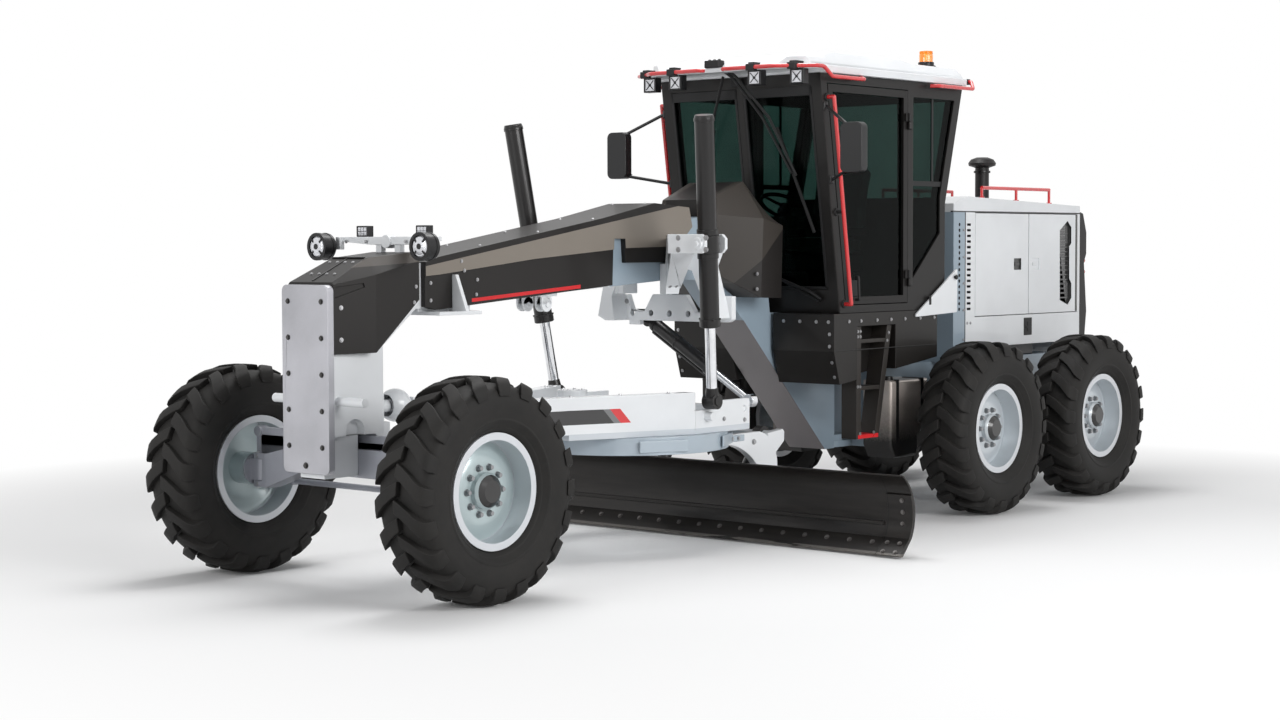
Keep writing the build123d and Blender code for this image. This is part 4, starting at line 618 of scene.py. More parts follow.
# Columns: radius, distance from the tyre's middle plane
CARCASS = [
    (0.3180, RIM_HALF), (0.3500, RIM_HALF), (0.3580, 0.1500), (0.3760, 0.1660), (0.3850, 0.1680),
    (0.3900, 0.1740), (0.4120, 0.1900), (0.4180, 0.1975), (0.4260, 0.1985), (0.4330, 0.1960),
    (0.4700, 0.2055), (0.5150, 0.2100), (0.5500, 0.2075), (0.5850, 0.1990), (0.6080, 0.1840),
    (0.6240, 0.1600), (0.6340, 0.1150), (0.6370, 0.0500),
]
# Columns: distance from the middle plane, radius of the top and of the foot, and how far round
# the near and the far flank lie
LUG_STEPS = [
    (-0.012, 0.6745, 0.620, -0.004, 0.078), (0.045, 0.6748, 0.620, 0.024, 0.112),
    (0.100, 0.6738, 0.618, 0.058, 0.152), (0.146, 0.6690, 0.610, 0.094, 0.196),
    (0.180, 0.6550, 0.594, 0.118, 0.232), (0.203, 0.6320, 0.575, 0.128, 0.244),
    (0.2125, 0.5930, 0.560, 0.134, 0.240),
]


def thicken(mesh, faces, way):
    """Pushes a copy of the faces along a vector, with walls between."""
    made = bmesh.ops.extrude_face_region(mesh, geom=faces)["geom"]
    bmesh.ops.translate(mesh, vec=way, verts=[v for v in made if isinstance(v, bmesh.types.BMVert)])


def tyre_mesh():
    """One tyre about the origin's Y axis, outboard towards +Y."""
    profile = [(r, -y) for r, y in CARCASS] + [(r, y) for r, y in reversed(CARCASS)]
    mesh = spun(profile, 96, Matrix.Rotation(-math.pi / 2, 4, "X"))
    lug = bmesh.new()
    bmesh.ops.create_grid(lug, x_segments=len(LUG_STEPS) - 1, y_segments=2, size=0.5)
    thicken(lug, lug.faces[:], (0, 0, 1))
    for vert in lug.verts:
        step = round((vert.co.x + 0.5) * (len(LUG_STEPS) - 1))
        out, top, foot, near, away = LUG_STEPS[step]
        turn = (near + (away - near) * (vert.co.y + 0.5)) / HUB_Z
        radius = foot if vert.co.z < 0.5 else top
        vert.co = (radius * math.sin(turn), out, radius * math.cos(turn))
    bmesh.ops.recalc_face_normals(lug, faces=lug.faces[:])
    for half in (0, 0.5):
        for count in range(LUGS):
            turned = lug.copy()
            if half:
                bmesh.ops.scale(turned, vec=(1, -1, 1), verts=turned.verts[:])
                bmesh.ops.reverse_faces(turned, faces=turned.faces[:])
            turn = Matrix.Rotation(math.tau * (count + half) / LUGS, 4, "Y")
            bmesh.ops.transform(turned, matrix=turn, verts=turned.verts[:])
            join(mesh, turned)
    lug.free()
    return mesh


for pair, wheel_x, disc_with_painted_light in WHEELS:
    for side_name, side in SIDES:
        mesh = tyre_mesh()
        bmesh.ops.translate(mesh, vec=(wheel_x, side * TRACK_HALF, HUB_Z), verts=mesh.verts[:])
        wheel = pair + "_" + side_name
        tyre = new_piece("tread_" + wheel, mesh, rubber, "wheel_" + wheel, 0.006)
        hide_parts("tyre_" + wheel)

# Saddle. White castings bolted to the beam: side plates, a clamp round each lift cylinder and the
# drilled link bar that the centre shift cylinder hangs from.
TRUNNION_X, TRUNNION_Y, TRUNNION_Z = 1.324, 0.8285, 2.120
dress("saddle", white, 0.005, 20)
bolts("saddle_bolts", "front_frame", [
    ([(1.000, 0.2405, 2.090)], OUT, 0.022),
    ([(0.965, 0.2405, 1.830), (1.035, 0.2405, 1.830), (0.905, 0.2405, 2.060)], OUT, 0.016),
], zinc)
bolts("clamp_bolts", "front_frame", [
    ([(1.4505, 0.900, 2.080), (1.4505, 0.900, 2.160), (1.4505, 0.660, 2.080),
      (1.4505, 0.660, 2.160), (0.7505, 0.400, 1.700), (0.7505, 0.520, 1.600)], AHEAD, 0.014),
], zinc)
mesh = bmesh.new()
for side in (1, -1):
    for way in (1, -1):
        cap = facing((TRUNNION_X + way * 0.126, side * TRUNNION_Y, TRUNNION_Z), (way, 0, 0))
        rod(mesh, cap, -0.004, 0.016, 0.046, 0.040)
        rod(mesh, cap, 0.010, 0.024, 0.020, 0.018, sides=12)
new_piece("trunnion_caps", mesh, white, "front_frame", 0.003)

# Lift, shift and tip cylinders. Black barrels with a gland nut, hard-chromed rods and black cast
# knuckles at the rods' ends.
KNUCKLE_TOP = 1.095
barrel_black = paint("barrel_black", (0.012, 0.011, 0.011), roughness=0.32, coat=0.2, shine=0.3)
dress("lift_barrel_left lift_barrel_right shift_barrel tip_barrels", barrel_black, 0.003)
chrome, place = new_material("hard_chrome")
knuckle = place.split()[2] < KNUCKLE_TOP
smear = place.pattern("Noise", Scale=14.0, Detail=3.0)
shade = smear.ramp((0.3, (0.72, 0.73, 0.75)), (0.7, (0.86, 0.87, 0.89)))
close_material(place.node("BsdfPrincipled", {
    "Base Color": shade.blend(knuckle, (0.016, 0.015, 0.015)), "Metallic": 1.0 - knuckle * 0.9,
    "Roughness": smear * 0.06 + knuckle * 0.3 + 0.06,
}))
dress("lift_rod_left lift_rod_right", chrome, 0.002)
dress("shift_rod tip_rods side_shift_rod", patterned(
    "chrome_rod", "Noise", {"Scale": 14.0, "Detail": 3.0},
    [(0.3, (0.70, 0.71, 0.73)), (0.7, (0.85, 0.86, 0.88))], {"Metallic": 1.0}, gloss=(0.06, 0.07),
), 0.002)
GLAND_Z = 1.552
for side_name, side in SIDES:
    top = Vector((1.447, side * 0.882, 2.978))
    eye = Vector((1.169, side * 0.730, 1.037))
    along = facing(top, eye - top)
    per_metre_down = (eye - top).length / (top.z - eye.z)
    end = (top.z - GLAND_Z) * per_metre_down
    middle = (top.z - TRUNNION_Z) * per_metre_down
    mesh = bmesh.new()
    rod(mesh, along, -0.006, 0.020, 0.062, 0.071)
    rod(mesh, along, 0.020, 0.038, 0.071)
    rod(mesh, along, end - 0.055, end - 0.004, 0.072, sides=36)
    rod(mesh, along, middle - 0.100, middle - 0.062, 0.073)
    rod(mesh, along, middle + 0.062, middle + 0.100, 0.073)
    for count in range(6):
        spot = Matrix.Rotation(math.tau * count / 6, 4, "Z") @ Matrix.Translation((0.070, 0, 0))
        rod(mesh, along @ spot, end - 0.062, end - 0.050, 0.008, sides=6)
    new_piece("lift_gland_" + side_name, mesh, barrel_black, "lift_barrel_" + side_name,
              0.002)
    mesh = bmesh.new()
    across = facing(eye, (0, side, 0))
    rod(mesh, across, -0.055, 0.056, 0.036, sides=6)
    rod(mesh, across, -0.049, 0.049, 0.058, 0.056)
    rod(mesh, facing(eye, top - eye), 0.030, 0.095, 0.050, 0.042)
    new_piece("lift_knuckle_" + side_name, mesh, barrel_black, "lift_rod_" + side_name,
              0.002)
SHIFT_HEAD = Vector((0.570, -0.330, 1.560))
SHIFT_END = Vector((0.570, 0.600, 1.000))
along = facing(SHIFT_HEAD, SHIFT_END - SHIFT_HEAD)
mesh = bmesh.new()
for low, high, radius in ((0.640, 0.688, 0.056), (0.055, 0.080, 0.055), (0.300, 0.318, 0.052)):
    rod(mesh, along, low, high, radius, sides=32)
rod(mesh, along @ Matrix.Translation((0, 0.062, 0)), 0.070, 0.660, 0.011, sides=12)
for port in (0.080, 0.640):
    stub = along @ Matrix.Translation((0, 0.040, port)) @ Matrix.Rotation(-math.pi / 2, 4, "X")
    rod(mesh, stub, 0, 0.026, 0.015, sides=12)
new_piece("shift_gland", mesh, barrel_black, "shift_barrel", 0.002)


# Drawbar. A white welded V of box rails with a dark strip on each outer face that ends in a grey
# and a red slant; the lift brackets stand at its rear corners.
def rail_y(x):
    """Half width of the V over its rear part."""
    return (2.2 - x) * 0.3846 + 0.33


def drawbar_regions(x, y, z):
    side = abs(y)
    outer = rail_y(x) | ((3.38 - x) * 0.2203 + 0.07)
    strip = (side > outer - 0.004) * (z > 0.915) * (z < 1.012) * (x < 3.30)
    slant = x - (z - 0.925) * 0.8
    return [
        (strip * (slant > 1.769), LINE_RED), (strip * (slant > 1.842), (0.17, 0.17, 0.175)),
        (strip * (slant > 1.890), (0.020, 0.019, 0.020)),
        ((z < 0.852) * (side > 0.2), (0.62, 0.66, 0.70)),
    ]


dress("drawbar", paint("drawbar_enamel", WHITE, regions=drawbar_regions), 0.004)
ball_steel = paint("ball_steel", (0.30, 0.30, 0.31), roughness=0.25, coat=0.0, metallic=1.0)
dress("drawbar_ball", ball_steel, 0.0)
bolts("drawbar_bolts", "drawbar", [
    ([(x, 0.640, 0.8505) for x in (1.20, 1.05, 0.90)], UP, 0.011),
    ([(x, rail_y(x) - 0.05, 1.1005) for x in (1.45, 1.80, 2.15)], UP, 0.010),
    ([(0.975, 0.6805, 0.900), (0.740, 0.6805, 0.880)], OUT, 0.012),
    ([(1.80 + 0.075 * math.cos(turn), 0.075 * math.sin(turn), 1.1205) for turn in (0.4, 1.5, 2.6)],
     UP, 0.009),
], zinc)


# Circle. A forged ring with inside teeth, blue-grey, and two white curved arms that carry the
# blade's cross shaft; guide shoes are bolted round the ring.
def circle_regions(x, y, z):
    side = abs(y)
    arm = (side > 0.518) * (side < 0.582) * (x < 0.832)
    return [(arm | (x < 0.50), WHITE)]


CIRCLE_X = 1.250
SHOE_RADIUS = 0.742
circle_enamel = paint("circle_enamel", (0.42, 0.49, 0.55), regions=circle_regions)
dress("circle", circle_enamel, 0.004)
mesh = bmesh.new()
for side in (1, -1):
    for turn in (62, 118):
        angle = side * math.radians(turn)
        x, y = CIRCLE_X + SHOE_RADIUS * math.cos(angle), SHOE_RADIUS * math.sin(angle)
        shoe = Matrix.Translation((x, y, 0.750)) @ Matrix.Rotation(angle, 4, "Z")
        block(mesh, shoe, (0.016, 0.36, 0.080))
twin_slabs(mesh, (0.615, 0.5765, 0.7155), (0.815, 0.5865, 0.7605))
new_piece("circle_panels", mesh, circle_enamel, "circle", 0.006)
bolts("arm_bolts", "circle", [
    ([(0.688, 0.5868, 0.738), (0.760, 0.5868, 0.738)], OUT, 0.012),
    ([(0.500, 0.5805, 0.700)], OUT, 0.016),
], zinc)

# Blade. A rolled moldboard of dark coated steel on its carrier, with a bolted cutting edge and a
# bolted end bit at each end.
blade_steel, place = new_material("blade_steel")
stretched = place.node("Mapping", {"Vector": place, "Scale": (9.0, 0.8, 9.0)})
rolled = stretched.pattern("Noise", Scale=3.0, Detail=5.0)
x, y, z = place.split()
end_seam = (abs(y) > 1.780) * (abs(y) < 1.787) * (x > 0.40)
worn = (z < 0.035) * (rolled > 0.42)
shade = rolled.ramp((0.3, (0.0125, 0.0108, 0.0100)), (0.75, (0.0230, 0.0200, 0.0180)))
close_material(place.node("BsdfPrincipled", {
    "Base Color": shade.blend(worn, (0.13, 0.12, 0.11)).blend(end_seam, (0.004, 0.004, 0.004)),
    "Metallic": 0.3, "Roughness": rolled * 0.15 + 0.24, "Coat Weight": 0.12,
    "Coat Roughness": 0.15, "Specular IOR Level": 0.35,
    "Normal": place.pattern("Noise", Scale=150.0, Detail=2.0).bump(0.10, 0.001),
}))
dress("moldboard cutting_edge", blade_steel, 0.002)
dress("blade_carrier", white, 0.003)
EDGE_WAY = (0.691, 0, 0.723)
EDGE_STEP = 3.40 / 18
bolts("blade_bolts", "blade", [
    ([(0.640, count * EDGE_STEP, 0.0893) for count in range(10)], EDGE_WAY, 0.014),
    ([(0.652, 1.83, 0.0985), (0.652, 1.93, 0.0985), (0.708, 1.83, 0.0440), (0.708, 1.93, 0.0440)],
     EDGE_WAY, 0.012),
    *(([(x, 1.90, z)], (0.97, 0, (0.281 - z) * 1.4), 0.012)
      for x, z in ((0.5830, 0.38), (0.5700, 0.30), (0.5733, 0.22))),
], paint("blade_bolt", (0.16, 0.15, 0.145), roughness=0.3, coat=0.1, metallic=0.8))
mesh = bmesh.new()
slab(mesh, (0.680, -1.970, 0.555), (0.706, 1.970, 0.565))
new_piece("blade_top_strip", mesh, blade_steel, "blade", 0.003)

# Cab. A welded frame of near-black pillars, wider at the front, with a glazed door on each side.
# The doors' frames and panes are one piece in the plan, so one material tells them apart.
CAB_HALF = 0.750
CAB_BLACK = (0.0100, 0.0090, 0.0086)
cab_black = paint("cab_black", CAB_BLACK, roughness=0.42, coat=0.08, fleck=0.08, shine=0.25)
dress("cab_frame", cab_black, 0.005, 20)


def front_x(z):
    """The windscreen's leaning face."""
    return (z - 1.600) * (0.260 / 1.760) - 0.328


def tinted(name, door):
    """Dark green cab glass; on a door, the enamelled frame round it as well."""
    material, place = new_material(name)
    haze = place.pattern("Noise", Scale=2.5, Detail=3.0)
    surface = clear = place.node("BsdfPrincipled", {
        "Base Color": haze.ramp((0.3, (0.090, 0.150, 0.138)), (0.7, (0.120, 0.190, 0.172))),
        "Roughness": haze * 0.02, "IOR": 1.12, "Transmission Weight": 1.0,
    })
    if door:
        x, y, z = place.split()
        inside = (z > 1.7213) * (z < 3.2287) * (x > -1.1667) * (x < front_x(z) - 0.1413)
        pane = inside * (abs(y) > 0.7195) * (abs(y) < 0.7285)
        enamel = place.node("BsdfPrincipled", {
            "Base Color": CAB_BLACK, "Roughness": haze * 0.1 + 0.36, "Specular IOR Level": 0.25,
        })
        surface = place.node("MixShader", {0: pane, 1: enamel, 2: clear})
    close_material(surface)
    return material


dress("cab_glass", tinted("cab_glass_tint", False), 0.0)
dress("cab_door_left cab_door_right", tinted("cab_door_finish", True), 0.0)

# Door handles, latches and hinges, and the bars in the rear side windows. Black steel, screwed to
# the doors and to the cab's frame.
trim_black = paint("trim_black", (0.012, 0.012, 0.0125), roughness=0.5, coat=0.0, shine=0.3)


def trim(name, mesh, bevel, body="front_frame"):
    """A finished mesh as a piece of black trim."""
    new_piece(name, mesh, trim_black, body, bevel)


def tubes(name, paths, radius, material, body, bend=0.04):
    """Round tube bent through each path's points, as one mesh."""
    curve = bpy.data.curves.new(name, "CURVE")
    curve.dimensions = "3D"
    curve.bevel_depth = radius
    curve.bevel_resolution = 3
    curve.resolution_u = 5
    curve.use_fill_caps = True
    for path in paths:
        path = [Vector(point) for point in path]
        points = [path[0]]
        for before, at, after in zip(path, path[1:], path[2:]):
            into, away = ((end - at).normalized() * bend for end in (before, after))
            points += [at + into, at, at + away]
        points.append(path[-1])
        line = curve.splines.new("NURBS")
        line.points.add(len(points) - 1)
        for point, spot in zip(line.points, points):
            point.co = (*spot, 1)
        line.order_u = 3
        line.use_endpoint_u = True
    holder = bpy.data.objects.new(name, curve)
    bpy.context.scene.collection.objects.link(holder)
    bpy.context.view_layer.update()
    shape = bpy.data.meshes.new_from_object(holder)
    bpy.data.objects.remove(holder)
    mesh = bmesh.new()
    mesh.from_mesh(shape)
    bpy.data.meshes.remove(shape)
    bmesh.ops.remove_doubles(mesh, verts=mesh.verts[:], dist=0.00005)
    bmesh.ops.recalc_face_normals(mesh, faces=mesh.faces[:])
    return new_piece(name, mesh, material, body)


for side_name, side in SIDES:
    y = side * (CAB_HALF + 0.012)
    pull = side * (CAB_HALF + 0.045)
    tubes("door_handle_" + side_name, [
        [(-0.510, y, 1.700), (-0.510, pull, 1.700), (-0.500, pull, 1.870), (-0.500, y, 1.870)],
    ], 0.011, trim_black, "cab_door_" + side_name, 0.02)
    mesh = bmesh.new()
    slab(mesh, (-0.545, side * 0.7495, 1.725), (-0.460, side * 0.760, 1.845))
    for z in (1.880, 3.080):
        rod(mesh, Matrix.Translation((-1.228, side * 0.764, z)), -0.030, 0.034, 0.0165, sides=16)
    trim("door_latch_" + side_name, mesh, 0.003, "cab_door_" + side_name)

mesh = bmesh.new()
twin_slabs(mesh, (-1.760, 0.7290, 2.560), (-1.285, 0.7400, 2.600))
twin_slabs(mesh, (-1.600, 0.7290, 2.590), (-1.575, 0.7400, 3.240))
trim("quarter_bars", mesh, 0.002)


# Windscreen fittings. Two long wipers hang from a black motor box at the roof's front edge, and a
# short one stands low on the left pane; the glass has a black edging.
def before_glass(gap, y, z):
    """A point this far in front of the windscreen."""
    return (front_x(z) + gap, y, z)


mesh = bmesh.new()
slab(mesh, (0.165, -0.075, 3.415), (0.245, 0.055, 3.470))
slab(mesh, (front_x(3.30) + 0.001, -0.050, 3.290), (front_x(3.30) + 0.040, 0.050, 3.350))
for y in (-0.045, 0.0, 0.045):
    rod(mesh, Matrix.Translation((0.215, y, 3.470)), -0.002, 0.008, 0.012, sides=12)
trim("wiper_motor_box", mesh, 0.006)
tubes("wiper_arms", [
    [(0.22, 0.02, 3.445), (0.10, 0.10, 3.36), before_glass(0.060, 0.300, 3.050),
     before_glass(0.030, 0.480, 2.620)],
    [(0.20, -0.02, 3.445), (0.08, 0.06, 3.35), before_glass(0.055, 0.240, 3.050),
     before_glass(0.02705, 0.440, 2.640)],
    [(0.05, -0.05, 3.36), before_glass(0.055, -0.230, 3.050), before_glass(0.030, -0.380, 2.700)],
    [before_glass(0.01926, 0.600, 1.705), before_glass(0.03352, 0.520, 1.760),
     before_glass(0.02052, 0.200, 1.870)],
], 0.011, trim_black, "front_frame")
mesh = bmesh.new()
for y0, z0, y1, z1 in (
    (0.330, 2.980, 0.590, 2.200), (-0.260, 2.980, -0.520, 2.250), (0.150, 1.895, 0.580, 1.690),
):
    low, high = Vector(before_glass(0.014, y1, z1)), Vector(before_glass(0.014, y0, z0))
    block(mesh, facing((low + high) / 2, high - low), (0.020, 0.020, (high - low).length))
trim("wiper_blades", mesh, 0.004)
PANE_LOW, PANE_HIGH = 1.78, 3.27
mesh = bmesh.new()
for side in (1, -1):
    for y0, y1, z0, z1 in (
        (0.030, 0.050, PANE_LOW, PANE_HIGH), (0.640, 0.660, PANE_LOW, PANE_HIGH),
        (0.030, 0.660, PANE_LOW, 1.80), (0.030, 0.660, 3.20, PANE_HIGH),
    ):
        corners = [
            mesh.verts.new(before_glass(0.0015, side * y, z))
            for y, z in ((y0, z0), (y1, z0), (y1, z1), (y0, z1))
        ]
        thicken(mesh, [mesh.faces.new(corners)], (-0.018, 0, 0))
bmesh.ops.recalc_face_normals(mesh, faces=mesh.faces[:])
trim("pane_edging", mesh, 0.002)

# Driver's seat and controls. A sprung seat with a dark cloth cushion and back on a black pedestal,
# a steering column with its wheel, and the dash behind the windscreen.
cloth = patterned(
    "seat_cloth", "Wave", {"Scale": 120.0, "Distortion": 1.0},
    [(0.2, (0.022, 0.022, 0.023)), (0.8, (0.040, 0.040, 0.042))], {"Sheen Weight": 0.3},
    gloss=(0.1, 0.80), bump=(0.5, 0.001),
)


def pad(name, centre, size, lean, body):
    """A crowned cushion, its sides pulled in between the corners, a channel sewn down each side."""
    mesh = bmesh.new()
    bmesh.ops.create_cube(mesh, size=1)
    bmesh.ops.subdivide_edges(mesh, edges=mesh.edges[:], cuts=7, use_grid_fill=True)
    for vert in mesh.verts:
        x, y, z = (2 * c for c in vert.co)
        crown = (1 - x * x) * (1 - y * y)
        channel = max(0.0, 1 - abs(abs(y) - 0.55) / 0.12) * 0.10 * (1 - x * x)
        pull = 1 - 0.06 * (1 - z * z) - 0.03 * (1 - min(x * x, y * y))
        vert.co = (x * pull, y * pull, z * (0.72 + 0.28 * crown) - (channel if z > 0.9 else 0))
    bmesh.ops.smooth_vert(mesh, verts=mesh.verts[:], factor=0.3,
                          use_axis_x=True, use_axis_y=True, use_axis_z=True)
    half = Matrix.Diagonal((size[0] / 2, size[1] / 2, size[2] / 2, 1))
    stand = Matrix.Translation(centre) @ Matrix.Rotation(math.radians(lean), 4, "Y") @ half
    bmesh.ops.transform(mesh, matrix=stand, verts=mesh.verts[:])
    thing = new_piece(name, mesh, cloth, body)
    thing.modifiers.remove(thing.modifiers["crease"])
    rounded = thing.modifiers.new("rounded", "SUBSURF")
    rounded.levels = 1
    rounded.render_levels = 1
    return thing


cushion = pad("seat_cushion", (-1.150, 0, 2.105), (0.48, 0.48, 0.13), -3, "front_frame")
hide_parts("cab_interior")
pad("seat_back", (-1.405, 0, 2.480), (0.13, 0.46, 0.64), -12, "front_frame")
mesh = bmesh.new()
slab(mesh, (-1.350, -0.180, 1.660), (-1.030, 0.180, 1.900))
slab(mesh, (-1.390, -0.230, 1.900), (-0.930, 0.230, 2.035))
twin_slabs(mesh, (-1.300, 0.270, 2.180), (-0.930, 0.350, 2.240))
for lever in twins((-0.960, 0.310, 2.240), UP):
    rod(mesh, lever, 0.0, 0.110, 0.014, 0.022, sides=12)
slab(mesh, (-1.560, -0.110, 2.880), (-1.470, 0.110, 3.020))
slab(mesh, (-0.400, -0.300, 1.660), (-0.560, 0.300, 1.900))
trim("seat_base", mesh, 0.015)
mesh = bmesh.new()
rod(mesh, facing((-0.470, 0, 1.660), (-0.270, 0, 0.963)), 0.0, 0.700, 0.065, 0.040)
slab(mesh, (-0.700, -0.100, 2.230), (-0.560, 0.100, 2.330))
steering = facing((-0.655, 0, 2.400), (-0.5, 0, 0.86))
hoop(mesh, steering, -0.013, 0.013, 0.177, 0.203)
for turn in (90, 210, 330):
    turned = steering @ Matrix.Rotation(math.radians(turn), 4, "Z")
    rod(mesh, turned @ Matrix.Rotation(math.pi / 2, 4, "Y"), 0.0, 0.185, 0.013, 0.010, sides=10)
rod(mesh, steering, -0.060, 0.020, 0.045, 0.038, sides=20)
trim("steering_wheel", mesh, 0.006)

# Roof. A moulded white shell; red tube rails with black clamps follow its front corners and its
# rear corners, and the roof lamps hang from the clamps.
RED = (0.66, 0.022, 0.026)
RAIL_Y = 0.834
dress("cab_roof", white, 0.008, 6)
red = paint("red_enamel", RED, roughness=0.28, coat=0.8)
FRONT_RAIL = (
    (0.225, 0.090, 3.398), (0.262, 0.110, 3.398), (0.262, 0.575, 3.398),
    (0.095, RAIL_Y, 3.398), (0.000, RAIL_Y, 3.398), (-0.110, RAIL_Y, 3.330),
    (-0.520, RAIL_Y, 3.330), (-0.545, 0.775, 3.350),
)
REAR_RAIL = (
    (-1.500, 0.775, 3.335), (-1.530, RAIL_Y, 3.335), (-2.030, RAIL_Y, 3.335),
    (-2.085, 0.780, 3.398), (-2.085, 0.640, 3.398), (-2.060, 0.620, 3.398),
)
tubes("roof_rails", [
    [(x, side * y, z) for x, y, z in path] for side in (1, -1) for path in (FRONT_RAIL, REAR_RAIL)
], 0.015, red, "front_frame", 0.035)
mesh = bmesh.new()
for x, y in ROOF_LAMPS:
    outer = 0.262 if y < 0.5 else 0.190
    twin_slabs(mesh, (outer - 0.030, y - 0.035, 3.374), (outer + 0.022, y + 0.035, 3.422))
    twin_slabs(mesh, (x - 0.020, y - 0.028, 3.395), (outer, y + 0.028, 3.436))
twin_slabs(mesh, (-2.110, 0.700, 3.375), (-2.060, 0.760, 3.420))
trim("rail_clamps", mesh, 0.005)
beacon = Matrix.Translation((-1.708, 0.600, 0))
mesh = bmesh.new()
rod(mesh, beacon, 3.528, 3.540, 0.064, 0.060, sides=32)
rod(mesh, beacon, 3.500, 3.512, 0.080, 0.074, sides=32)
new_piece("beacon_base", mesh, trim_black, "front_frame", 0.003)
amber = patterned(
    "beacon_amber", "Wave", {"Scale": 26.0, "Distortion": 0.0},
    [(0.2, (0.85, 0.22, 0.01)), (0.8, (0.95, 0.33, 0.02))], {"Coat Weight": 0.8},
    gloss=(0.05, 0.10), bump=(0.4, 0.004), glow=0.25,
)
dome = spun([
    (0.0535, 3.540), (0.0545, 3.590), (0.0500, 3.612), (0.0360, 3.626), (0.0150, 3.6305),
    (0.0, 3.631),
], 40, beacon, closed=False)
new_piece("beacon_dome", dome, amber, "front_frame")

# Mirrors and hand rails. Black moulded mirror heads on bent arms, and a red rail up each front
# pillar on black feet.
mirror_black = paint("mirror_black", (0.013, 0.013, 0.014), roughness=0.36, coat=0.1, shine=0.35)
dress("mirrors", mirror_black, 0.006)
dress("grab_rails", red, 0.0)
mirror_glass = patterned(
    "mirror_glass", "Noise", {"Scale": 3.0, "Detail": 3.0},
    [(0.3, (0.72, 0.74, 0.76)), (0.7, (0.80, 0.82, 0.84))], {"Metallic": 1.0}, gloss=(0.03, 0.02),
)
mesh = bmesh.new()
twin_slabs(mesh, (-0.0275, 1.030, 2.655), (-0.0235, 1.180, 2.955))
new_piece("mirror_glasses", mesh, mirror_glass, "front_frame", 0.001)
mesh = bmesh.new()
for z in (1.670, 2.350, 3.186):
    for foot in twins((front_x(z) - 0.062, CAB_HALF, z)):
        rod(mesh, foot, 0.0, 0.010, 0.032, 0.028, sides=16)
for stay in twins((front_x(2.350) - 0.062, CAB_HALF, 2.350)):
    rod(mesh, stay, 0.008, 0.062, 0.012, sides=12)
trim("rail_feet", mesh, 0.002)


# Skirt, ladders and side tanks. Folded black sheet under the cab, dark ladders with a red bottom
# tread, and bronze tanks with painted shade that darkens them to black towards the bottom.
def ladder_regions(x, y, z):
    return [((z < 0.681) * (x > -0.85) * (x < -0.582), RED)]


skirt_black = paint("skirt_black", (0.0130, 0.0115, 0.0105), roughness=0.40, coat=0.08,
                    fleck=0.1, shine=0.25)
dress("skirt", skirt_black, 0.003, 10)
ladder_paint = paint("ladder_taupe", (0.026, 0.0225, 0.020), roughness=0.45, coat=0.05, fleck=0.1,
                     regions=ladder_regions, shine=0.3)
dress("ladders", ladder_paint, 0.003)
SKIRT_FRONT_X = -0.2375
SKIRT_SIDE_X = (-0.429, -0.585, -0.798, -0.987, -1.179, -1.389, -1.589)
LADDER_Y = 0.7385
bolts("skirt_bolts", "front_frame", [
    ([(x, 0.7605, 1.540) for x in SKIRT_SIDE_X], OUT, 0.010),
    ([(SKIRT_FRONT_X, y, 1.540) for y in (0.300, 0.450, 0.600, 0.710)], AHEAD, 0.010),
    ([(SKIRT_FRONT_X, 0.720, z) for z in (1.450, 1.360)], AHEAD, 0.010),
    ([(-0.262, 0.725, 1.240), (-0.295, 0.725, 1.130)], (0.957, 0, -0.29), 0.010),
    ([(x, LADDER_Y, z) for z in (1.460, 1.420, 1.045) for x in (-0.575, -0.607)], OUT, 0.009),
    ([(-0.607, LADDER_Y, 0.690), (-0.790, LADDER_Y, 0.690), (-0.985, LADDER_Y, 1.440),
      (-0.965, LADDER_Y, 1.380)], OUT, 0.009),
], zinc)
mesh = bmesh.new()
twin_slabs(mesh, (-0.2395, 0.215, 1.598), (-0.2335, 0.757, 1.590))
twin_slabs(mesh, (-0.240, 0.756, 1.330), (-1.630, 0.7625, 1.322))
twin_slabs(mesh, (-1.040, 0.590, 1.500), (-0.545, 0.745, 1.512))
new_piece("skirt_folds", mesh, black, "front_frame", 0.002)
tank_finish, place = new_material("tank_enamel")
mottle = place.pattern("Noise", Scale=60.0, Detail=4.0)
# Painted shade: with height, broken up by the mottle, the tank's bronze is darkened to black
# towards its bottom.
height = place.split()[2] + mottle * 0.10
bronze_above_painted_shade = place.node("MapRange", {"Value": height, "From Min": 0.62, "From Max": 0.98})
close_material(place.node("BsdfPrincipled", {
    "Base Color": bronze_above_painted_shade.ramp((0.0, (0.018, 0.017, 0.0165)), (1.0, (0.62, 0.55, 0.50))),
    "Metallic": 0.45, "Roughness": mottle * 0.2 + 0.28, "Coat Weight": 0.4, "Coat Roughness": 0.1,
    "Normal": mottle.bump(0.3, 0.002),
}))
dress("side_tanks", tank_finish, 0.0)
mesh = bmesh.new()
for x, foot_z in ((-1.700, 0.760), (-1.350, 0.560)):
    twin_slabs(mesh, (x - 0.020, 0.400, 1.0480), (x + 0.020, 0.5825, 1.056))
    twin_slabs(mesh, (x - 0.020, 0.5790, foot_z), (x + 0.020, 0.5835, 1.056))
for filler in twins((-1.330, 0.500, 1.050), UP):
    rod(mesh, filler, -0.002, 0.030, 0.045, 0.042)
new_piece("tank_straps", mesh, black, "rear_frame", 0.003)
dress("rear_panels", white, 0.002)
mesh = bmesh.new()
twin_slabs(mesh, (-1.494, 0.7740, 1.640), (-1.524, 0.7785, 1.712))
for knob in twins((-1.860, 0.7753, 1.850)):
    rod(mesh, knob, -0.001, 0.014, 0.010, sides=12)
    rod(mesh, knob, 0.014, 0.024, 0.020, 0.018, sides=16)
trim("panel_latches", mesh, 0.003)

# Rear frame. Box rails behind the hitch with the axle housing, blue-grey, and the black chain
# cases that carry the four rear wheels; the engine sits on it.
dress("rear_frame", paint("rear_enamel", BLUE_GREY), 0.004)
dress("tandem_cases", black, 0.005)
dress("engine_block", paint("engine_grey", (0.06, 0.06, 0.062), roughness=0.5, coat=0.1), 0.010)


